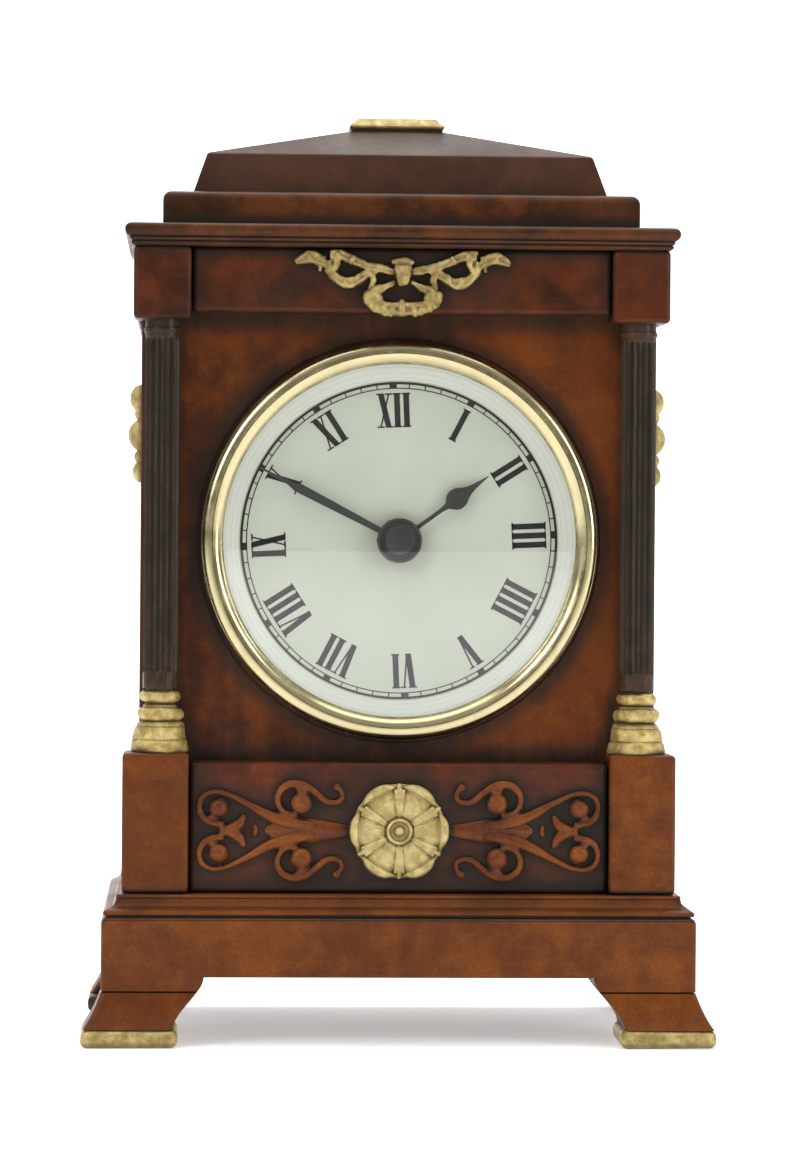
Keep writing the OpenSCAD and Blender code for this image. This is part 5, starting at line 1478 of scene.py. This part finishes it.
@dataclass
class Insert:
    """Bezel, lens, white ring, printed dial and hands."""

    stock: Stock
    track_outer: float = 41.1
    track_inner: float = 39.3
    numeral_low: float = 29.3
    numeral_high: float = 38.2
    stem: float = 1.5
    hair: float = 0.42
    serif: float = 0.4
    print_t: float = 0.05
    dial_turn: float = -2.6
    sight_r: float = 45.6
    hour_angle: float = 53.8
    minute_angle: float = 297.2
    minute_plane: float = 4.75
    nut_plane: float = 5.6

    def __post_init__(self) -> None:
        """Takes the axis and the planes from the frame."""
        low, high = box_mm("bezel")
        self.axis = ((low.x + high.x) / 2, (low.z + high.z) / 2)
        self.panel_y = box_mm("front_panel")[0].y
        self.dial_y = box_mm("dial")[0].y

    def _turned(self, name: str, profile: list[Point], steps: int = 192) -> bpy.types.Object:
        """A ring turned about the hand axis, heights measured in front of the panel."""
        return Bench.lathe(name, profile, (self.axis[0], self.panel_y, self.axis[1]), "FRONT", steps)

    def bezel(self) -> None:
        """Brass ring: plain wall, rounded crest with a fine groove, slope to the lens."""
        low, high = box_mm("bezel")
        r = (high.x - low.x) / 2
        front = self.panel_y - low.y
        inner = self.sight_r
        crest = r - 2.6
        profile = [(r, -1.0), (r, front - 2.6), *arc((crest, front - 2.6), 2.6, 8, 90, 12),
                   (crest - 0.35, front), (crest - 0.5, front - 0.3), (crest - 0.65, front - 0.04),
                   (crest - 1.4, front - 0.25), (crest - 2.1, front - 0.7), (crest - 2.7, front - 1.25),
                   (crest - 3.1, front - 1.75), (inner, 6.1), (inner, 4.8), (47.0, 4.7),
                   (47.0, 1.2), (49.5, 1.2), (49.5, -1.0), (r, -1.0)]
        piece = self._turned("bezel_ring", profile)
        brass = TurnedBrass("polished_brass", axis=self.axis)
        self.stock.place(piece, brass, "brass", "case", ("bezel",))

    def lens(self) -> None:
        """Domed glass with a flat edge."""
        dome_r, rise, thick = 45.0, 5.1, 1.2
        ball = (dome_r ** 2 + rise ** 2) / (2 * rise)
        centre = 6.2 + rise - ball
        edge = math.degrees(math.asin(dome_r / ball))
        outer = arc((0, centre), ball, 90, 90 - edge, 22)
        inner = arc((0, centre), ball - thick, 90 - edge * 0.98, 90, 22)
        profile = [*outer, (46.2, 6.0), (46.6, 5.7), (46.6, 4.95), (45.2, 4.85), *inner]
        piece = self._turned("lens_dome", profile)
        self.stock.place(piece, ClearGlass("clear_glass"), "lens_glass", "case", ("lens",))

    def rehaut(self) -> None:
        """White ring that slopes from the dial to the lens in fine steps."""
        steps = 3
        inner, outer, base = 41.5, self.sight_r, 2.0
        profile = [(inner, base), (inner, base + 0.35)]
        for i in range(steps):
            r0 = inner + (outer - inner) * i / steps
            r1 = inner + (outer - inner) * (i + 1) / steps
            h = base + 0.35 + 2.1 * i / steps
            profile += [(r0 + 0.15, h + 0.1), (r1 - 0.12, h + 0.6), (r1 - 0.02, h + 0.7)]
        profile += [(outer, base), (inner, base)]
        piece = self._turned("rehaut_steps", profile)
        enamel = RingedEnamel("ringed_enamel", axis=self.axis)
        self.stock.place(piece, enamel, "dial_paper", "case", ("rehaut_ring",))

    def dial(self) -> None:
        """Painted dial disc with a hole for the movement's bush."""
        r = self.sight_r
        profile = [(4.1, 1.2), (4.1, 1.95), (4.2, 2.0), (r, 2.0), (r + 0.2, 1.9), (r + 0.2, 1.2), (4.1, 1.2)]
        piece = self._turned("dial_disc", profile, 128)
        paint = Painted("dial_paint", colour=(0.525, 0.55, 0.46), shade=(0.48, 0.505, 0.42), spot=22.0,
                        rough=0.42, relief=0.01)
        self.stock.place(piece, paint, "dial_paper", "case", ("dial",))

    def _letter(self, letter: str) -> bpy.types.Object:
        """One Roman letter at the top of the dial, with its left edge on the axis.

        Args:
            letter: I, V or X.

        Returns:
            The letter as a thin print.
        """
        low, high, s, h = self.numeral_low, self.numeral_high, self.serif, self.hair
        width = self.width(letter)
        bars: list[list[Point]] = []

        def bar(x0: float, x1: float, y0: float, y1: float) -> None:
            """An upright or level bar."""
            bars.append([(x0, y0), (x1, y0), (x1, y1), (x0, y1)])

        def slant(x_low: float, x_high: float, thick: float) -> None:
            """A slanting stroke from the foot to the head."""
            bars.append([(x_low - thick / 2, low), (x_low + thick / 2, low),
                         (x_high + thick / 2, high), (x_high - thick / 2, high)])

        if letter == "I":
            middle = width / 2
            bar(middle - self.stem / 2, middle + self.stem / 2, low, high)
            for y in (low, high - s):
                bar(0.12, width - 0.12, y, y + s)
        elif letter == "V":
            slant(width / 2, 1.15, self.stem)
            slant(width / 2 + 0.3, width - 0.85, h)
            bar(0.0, 2.2, high - s, high)
            bar(width - 1.4, width, high - s, high)
        else:
            slant(width - 1.15, 1.15, self.stem)
            slant(0.85, width - 0.85, h)
            for y in (low, high - s):
                bar(0.0, 1.9, y, y + s)
                bar(width - 1.9, width, y, y + s)
        plates = [Bench.plate("bar", points, self.dial_y, self.print_t, self.axis) for points in bars]
        return Bench.join(f"letter_{letter}", plates)

    @staticmethod
    def width(letter: str) -> float:
        """Room that a letter takes, in millimetres."""
        return {"I": 2.4, "V": 4.2, "X": 4.1}[letter]

    def _turn(self, degrees: float, shift: float = 0.0) -> Matrix:
        """Moves a mark sideways, then clockwise round the dial."""
        centre = Matrix.Translation(Vector((self.axis[0], 0, self.axis[1])) * MM)
        spin = Matrix.Rotation(math.radians(degrees), 4, "Y")
        return centre @ spin @ centre.inverted() @ Matrix.Translation((shift * MM, 0, 0))

    def numerals(self) -> None:
        """Twelve Roman numerals that stand on the centre."""
        masters = {letter: self._letter(letter) for letter in "IVX"}
        marks = []
        names = ["XII", "I", "II", "III", "IIII", "V", "VI", "VII", "VIII", "IX", "X", "XI"]
        for hour, text in enumerate(names):
            x = -sum(self.width(letter) for letter in text) / 2
            for letter in text:
                mark = Bench.copy(masters[letter], f"numeral_{hour}_{letter}")
                marks.append(Bench.move(mark, self._turn(hour * 30.0 + self.dial_turn, x)))
                x += self.width(letter)
        for master in masters.values():
            bpy.data.objects.remove(master)
        piece = Bench.join("dial_numerals", marks)
        self.stock.place(piece, self.ink(), "hand_black")

    def ink(self) -> Finish:
        """Black print of the dial."""
        return Painted("dial_ink", colour=(0.012, 0.013, 0.012), shade=(0.022, 0.023, 0.020), spot=3.0,
                       rough=0.6, sheen=0.1)

    def track(self) -> None:
        """Minute track: a thick ring, a thin ring, sixty ticks and a block at each five."""
        front = self.panel_y - self.dial_y
        top = front + self.print_t

        def ring(name: str, r0: float, r1: float) -> bpy.types.Object:
            """A printed ring."""
            return self._turned(name, [(r0, front), (r0, top), (r1, top), (r1, front), (r0, front)], 180)

        parts = [ring("track_outer", self.track_outer - 0.65, self.track_outer),
                 ring("track_inner", self.track_inner, self.track_inner + 0.28)]
        low, high = self.track_inner + 0.1, self.track_outer - 0.2
        tick = Bench.plate("tick", [(-0.15, low), (0.15, low), (0.15, high), (-0.15, high)],
                           self.dial_y, self.print_t, self.axis)
        block = Bench.plate("block", [(-0.95, low), (0.95, low), (1.0, high), (-1.0, high)],
                            self.dial_y, self.print_t, self.axis)
        for minute in range(60):
            master = tick if minute % 5 else block
            mark = Bench.copy(master, f"minute_{minute}")
            parts.append(Bench.move(mark, self._turn(minute * 6.0 + self.dial_turn)))
        for master in (tick, block):
            bpy.data.objects.remove(master)
        self.stock.place(Bench.join("minute_track", parts), self.ink(), "hand_black")

    def _blade(self, name: str, half: list[Point], plane: float, thick: float,
               edge: float) -> bpy.types.Object:
        """The flat part of a hand, pointing up.

        Args:
            name: Its name.
            half: Half width and height of each point of its outline, in millimetres.
            plane: Plane of its back, in millimetres.
            thick: Thickness, in millimetres.
            edge: Width of its softened edge, in millimetres.

        Returns:
            The blade.
        """
        outline = half + [(-x, z) for x, z in reversed(half)]
        return Bench.soften(Bench.plate(name, outline, plane, thick, self.axis), edge, 2, 30)

    def _on_axis(self, name: str, profile: list[Point], plane: float, steps: int) -> bpy.types.Object:
        """A turned part of a hand, heights measured in front of a plane."""
        return Bench.lathe(name, profile, (self.axis[0], plane, self.axis[1]), "FRONT", steps)

    def hour_hand(self, enamel: Finish) -> None:
        """Spade hand on a thin hub."""
        low, high = box_mm("hour_hand")
        bulb = 18.3
        half = [(0.62, 4.0), (0.52, 9.0), (0.55, 13.6), (0.8, 15.2), *arc((0, bulb), 2.75, -50, 8, 7),
                (2.45, bulb + 1.6), (1.7, bulb + 2.7), (1.1, bulb + 4.0), (0.72, bulb + 5.6),
                (0.4, bulb + 8.0), (0.12, 28.5)]
        blade = self._blade("hour_blade", half, high.y, high.y - low.y, 0.12)
        hub = self._on_axis("hour_hub", [(2.4, 0), (4.4, 0), (4.5, 0.2), (4.4, 0.4), (2.4, 0.4), (2.4, 0)],
                            high.y, 64)
        hand = Bench.move(Bench.join("hour_hand_spade", [blade, hub]), self._turn(self.hour_angle))
        self.stock.place(hand, enamel, "hand_black", "hour_works", ("hour_hand",))

    def minute_hand(self, enamel: Finish) -> None:
        """Long hand that widens to a shoulder, on a ringed boss, with a domed nut."""
        plane = self.panel_y - self.minute_plane
        half = [(0.72, 3.0), (0.95, 14.0), (1.22, 28.6), (1.15, 29.4), (0.62, 31.0), (0.46, 34.0),
                (0.24, 39.6), (0.12, 40.7)]
        blade = self._blade("minute_blade", half, plane, 0.4, 0.1)
        boss = self._on_axis("minute_boss", [(1.0, -0.15), (5.2, -0.15), (5.8, 0.1), (5.8, 0.45),
                                             *arc((5.35, 0.45), 0.42, 0, 150, 6), (4.7, 0.45), (3.9, 0.5),
                                             (3.8, 0.85), (1.0, 0.85), (1.0, -0.15)], plane, 72)
        hand = Bench.move(Bench.join("minute_hand_long", [blade, boss]), self._turn(self.minute_angle))
        self.stock.place(hand, enamel, "hand_black", "minute_works", ("minute_hand",))
        nut = self._on_axis("hand_nut_dome", [(0, 0.2), (1.0, 0.2), (1.0, 0), (3.75, 0), (3.9, 0.15),
                                              (3.9, 0.4), *arc((3.4, 0.5), 0.45, 0, 90, 5), (2.0, 1.02),
                                              (0, 1.08)], self.panel_y - self.nut_plane, 64)
        self.stock.place(nut, enamel, "hand_black", "minute_works", ("hand_nut",))

    def hands(self) -> None:
        """Both hands in the same black enamel."""
        enamel = Painted("hand_enamel", colour=(0.030, 0.036, 0.030), shade=(0.018, 0.021, 0.018), spot=6.0,
                         rough=0.3, relief=0.01)
        self.hour_hand(enamel)
        self.minute_hand(enamel)

    def build(self) -> None:
        """Models and dresses the insert."""
        self.bezel()
        self.lens()
        self.rehaut()
        self.dial()
        self.numerals()
        self.track()
        self.hands()


# ------------------------------------------------------------------ rear and movement


@dataclass
class Rear:
    """Door furniture and the movement, whose shapes come from the frame."""

    stock: Stock

    def knob(self) -> None:
        """Turned brass knob with a waist and a domed face."""
        low, high = box_mm("door_knob")
        r, tall = (high.x - low.x) / 2, high.y - low.y
        centre = ((low.x + high.x) / 2, low.y, (low.z + high.z) / 2)
        profile = [(0, 0), (r * 0.75, 0), (r * 0.75, 0.4), (r * 0.4, 0.7), (r * 0.4, 1.5),
                   *arc((r - 1.2, 2.9), 1.2, -90, 60, 8), (r * 0.35, tall), (0, tall)]
        piece = Bench.lathe("door_knob_turned", profile, centre, "REAR", 64)
        brass = TurnedBrass("knob_brass", axis=(centre[0], centre[2]), clean=0.16, smeared=0.34)
        self.stock.place(piece, brass, "brass", "door", ("door_knob",))

    def movement(self) -> None:
        """Finishes for the nodes that keep their CAD shape."""
        black = Painted("moulded_black", colour=(0.018, 0.018, 0.019), shade=(0.028, 0.028, 0.029),
                        rough=0.42, relief=0.05, relief_size=0.5)
        white = Painted("gear_plastic", colour=(0.62, 0.62, 0.56), shade=(0.54, 0.54, 0.48), rough=0.35)
        steel = Painted("plain_steel", colour=(0.55, 0.56, 0.57), shade=(0.46, 0.47, 0.48), rough=0.22,
                        metal=1.0, spot=3.0)
        brass = TurnedBrass("nut_brass", clean=0.18, smeared=0.3)
        rubber = Painted("band_rubber", colour=(0.02, 0.02, 0.02), shade=(0.035, 0.035, 0.034), rough=0.75,
                         relief=0.08)
        magnet = Painted("sintered_magnet", colour=(0.07, 0.07, 0.075), shade=(0.11, 0.11, 0.115), rough=0.5,
                         metal=0.7)
        board = Painted("solder_mask", colour=(0.012, 0.11, 0.05), shade=(0.02, 0.15, 0.07), rough=0.28)
        jacket = Painted("cell_jacket", colour=(0.03, 0.045, 0.06), shade=(0.05, 0.065, 0.08), rough=0.25,
                         metal=0.3)
        finishes = {
            black: ("insert_cup", "movement_housing", "movement_cover", "setting_knob"),
            white: ("hour_wheel", "minute_wheel", "centre_wheel", "third_wheel", "seconds_wheel",
                    "intermediate_wheel"),
            steel: ("door_pins", "cover_screws", "centre_arbor", "stator", "battery_contacts"),
            brass: ("dial_nut",),
            rubber: ("grip_band",),
            magnet: ("rotor",),
            board: ("circuit_board",),
            jacket: ("battery",),
            WoundWire("wound_wire"): ("coil",),
        }
        for finish, nodes in finishes.items():
            for node in nodes:
                self.stock.dress(node, finish)

    def build(self) -> None:
        """Models the knob and dresses the movement."""
        self.knob()
        self.movement()


# ------------------------------------------------------------------ studio


@dataclass
class Studio:
    """Camera, lamps, floor and backdrop."""

    distance: float = 1.07
    azimuth: float = -2.9
    eye_z: float = 0.1295
    focal: float = 128.0
    roll: float = 0.43
    shift_y: float = -0.038
    surround: float = 0.12
    paper_glow: float = 0.38

    def camera(self) -> None:
        """A level camera a little to the left of the clock."""
        turn = math.radians(self.azimuth)
        target = Vector((0, -0.033, self.eye_z))
        place = target + Vector((math.sin(turn), -math.cos(turn), 0)) * self.distance
        data = bpy.data.cameras.new("view")
        camera = bpy.data.objects.new("view", data)
        bpy.context.collection.objects.link(camera)
        look = (target - place).to_track_quat("-Z", "Y").to_matrix().to_4x4()
        camera.matrix_world = Matrix.Translation(place) @ look @ Matrix.Rotation(
            math.radians(self.roll), 4, "Z")
        data.lens = self.focal
        data.sensor_width = 36.0
        data.shift_y = self.shift_y
        data.clip_start = 0.01
        bpy.context.scene.camera = camera

    def lamp(self, name: str, place: Point3, target: Point3, size: Point, power: float,
             colour: Colour = (1.0, 1.0, 1.0)) -> None:
        """A soft rectangular lamp.

        Args:
            name: Its name.
            place: Where it stands, in metres.
            target: Where it points.
            size: Its width and height.
            power: Its power, in watts.
            colour: Its colour.
        """
        data = bpy.data.lights.new(name, "AREA")
        data.shape = "RECTANGLE"
        data.size, data.size_y = size
        data.energy = power
        data.color = colour
        lamp = bpy.data.objects.new(name, data)
        bpy.context.collection.objects.link(lamp)
        lamp.matrix_world = Matrix.Translation(place) @ (
            Vector(target) - Vector(place)).to_track_quat("-Z", "Y").to_matrix().to_4x4()

    def lights(self) -> None:
        """Soft boxes above and at both sides, a lamp on the backdrop, and a pale surround."""
        self.lamp("top_box", (0.0, -0.15, 1.3), (0, 0, 0.1), (1.3, 1.0), 8.0, colour=(0.97, 0.99, 1.0))
        self.lamp("left_box", (-1.1, -1.0, 0.9), (0, 0, 0.12), (0.6, 0.9), 8.5)
        self.lamp("right_box", (1.2, -0.8, 0.55), (0, 0, 0.12), (0.4, 0.9), 6.4)
        self.lamp("backdrop_box", (0.0, 1.3, 2.3), (0, 2.8, 0.4), (2.5, 0.8), 75.0)
        world = bpy.data.worlds.new("surround")
        world.use_nodes = True
        sheet = Sheet(world.node_tree)
        axes = sheet.split(sheet.add("TexCoord").outputs["Generated"])
        above = sheet.spread(axes[2], -0.1, 0.7, 0.0, 0.35)
        behind = sheet.spread(axes[1], -0.4, 0.8, 0.0, 0.45)
        level = sheet.math("ADD", sheet.math("ADD", above, behind), self.surround)
        level = sheet.math("MAXIMUM", level, sheet.add("LightPath").outputs["Is Camera Ray"])
        background = world.node_tree.nodes["Background"]
        sheet.fit(background, {"Color": rgba((0.96, 0.98, 1.0)), "Strength": level})
        bpy.context.scene.world = world
        bpy.context.scene.view_settings.view_transform = "Standard"

    def stage(self) -> None:
        """A pale floor that curves up into a backdrop."""
        white = Painted("studio_paper", colour=(0.9, 0.9, 0.9), shade=(0.88, 0.88, 0.88), spot=400.0,
                        rough=0.8, relief=0.0)
        bend = [(3.0 - 0.5 + 0.5 * math.cos(a), 0.5 + 0.5 * math.sin(a))
                for a in [math.radians(-90 + 90 * i / 12) for i in range(13)]]
        line = [(-4.0, 0.0), *bend, (3.0, 3.0)]
        obj = Bench.trace([Vector((-4.0, y, z)) for y, z in line])
        bpy.ops.mesh.select_all(action="SELECT")
        bpy.ops.mesh.extrude_region_move(TRANSFORM_OT_translate={"value": (8.0, 0, 0)})
        Bench.leave()
        obj.name = "studio_sweep"
        Bench.pick(obj)
        bpy.ops.object.shade_smooth()
        paper = white.make()
        shader = next(n for n in paper.node_tree.nodes if n.type == "BSDF_PRINCIPLED")
        shader.inputs["Emission Color"].default_value = rgba((1.0, 1.0, 1.0))
        shader.inputs["Emission Strength"].default_value = self.paper_glow
        obj.data.materials.append(paper)

    def build(self) -> None:
        """Sets up the studio."""
        self.camera()
        self.lights()
        self.stage()


def main() -> None:
    """Builds the clock, sub-assembly by sub-assembly."""
    logging.basicConfig(level=logging.INFO, format="%(name)s %(message)s")
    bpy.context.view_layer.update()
    stock = Stock()
    Studio().build()
    Case(stock).build()
    Columns(stock).build()
    Ornaments(stock).build()
    Insert(stock).build()
    Rear(stock).build()
    LOG.info("%d new pieces", stock.count)


if __name__ == "__main__":
    main()
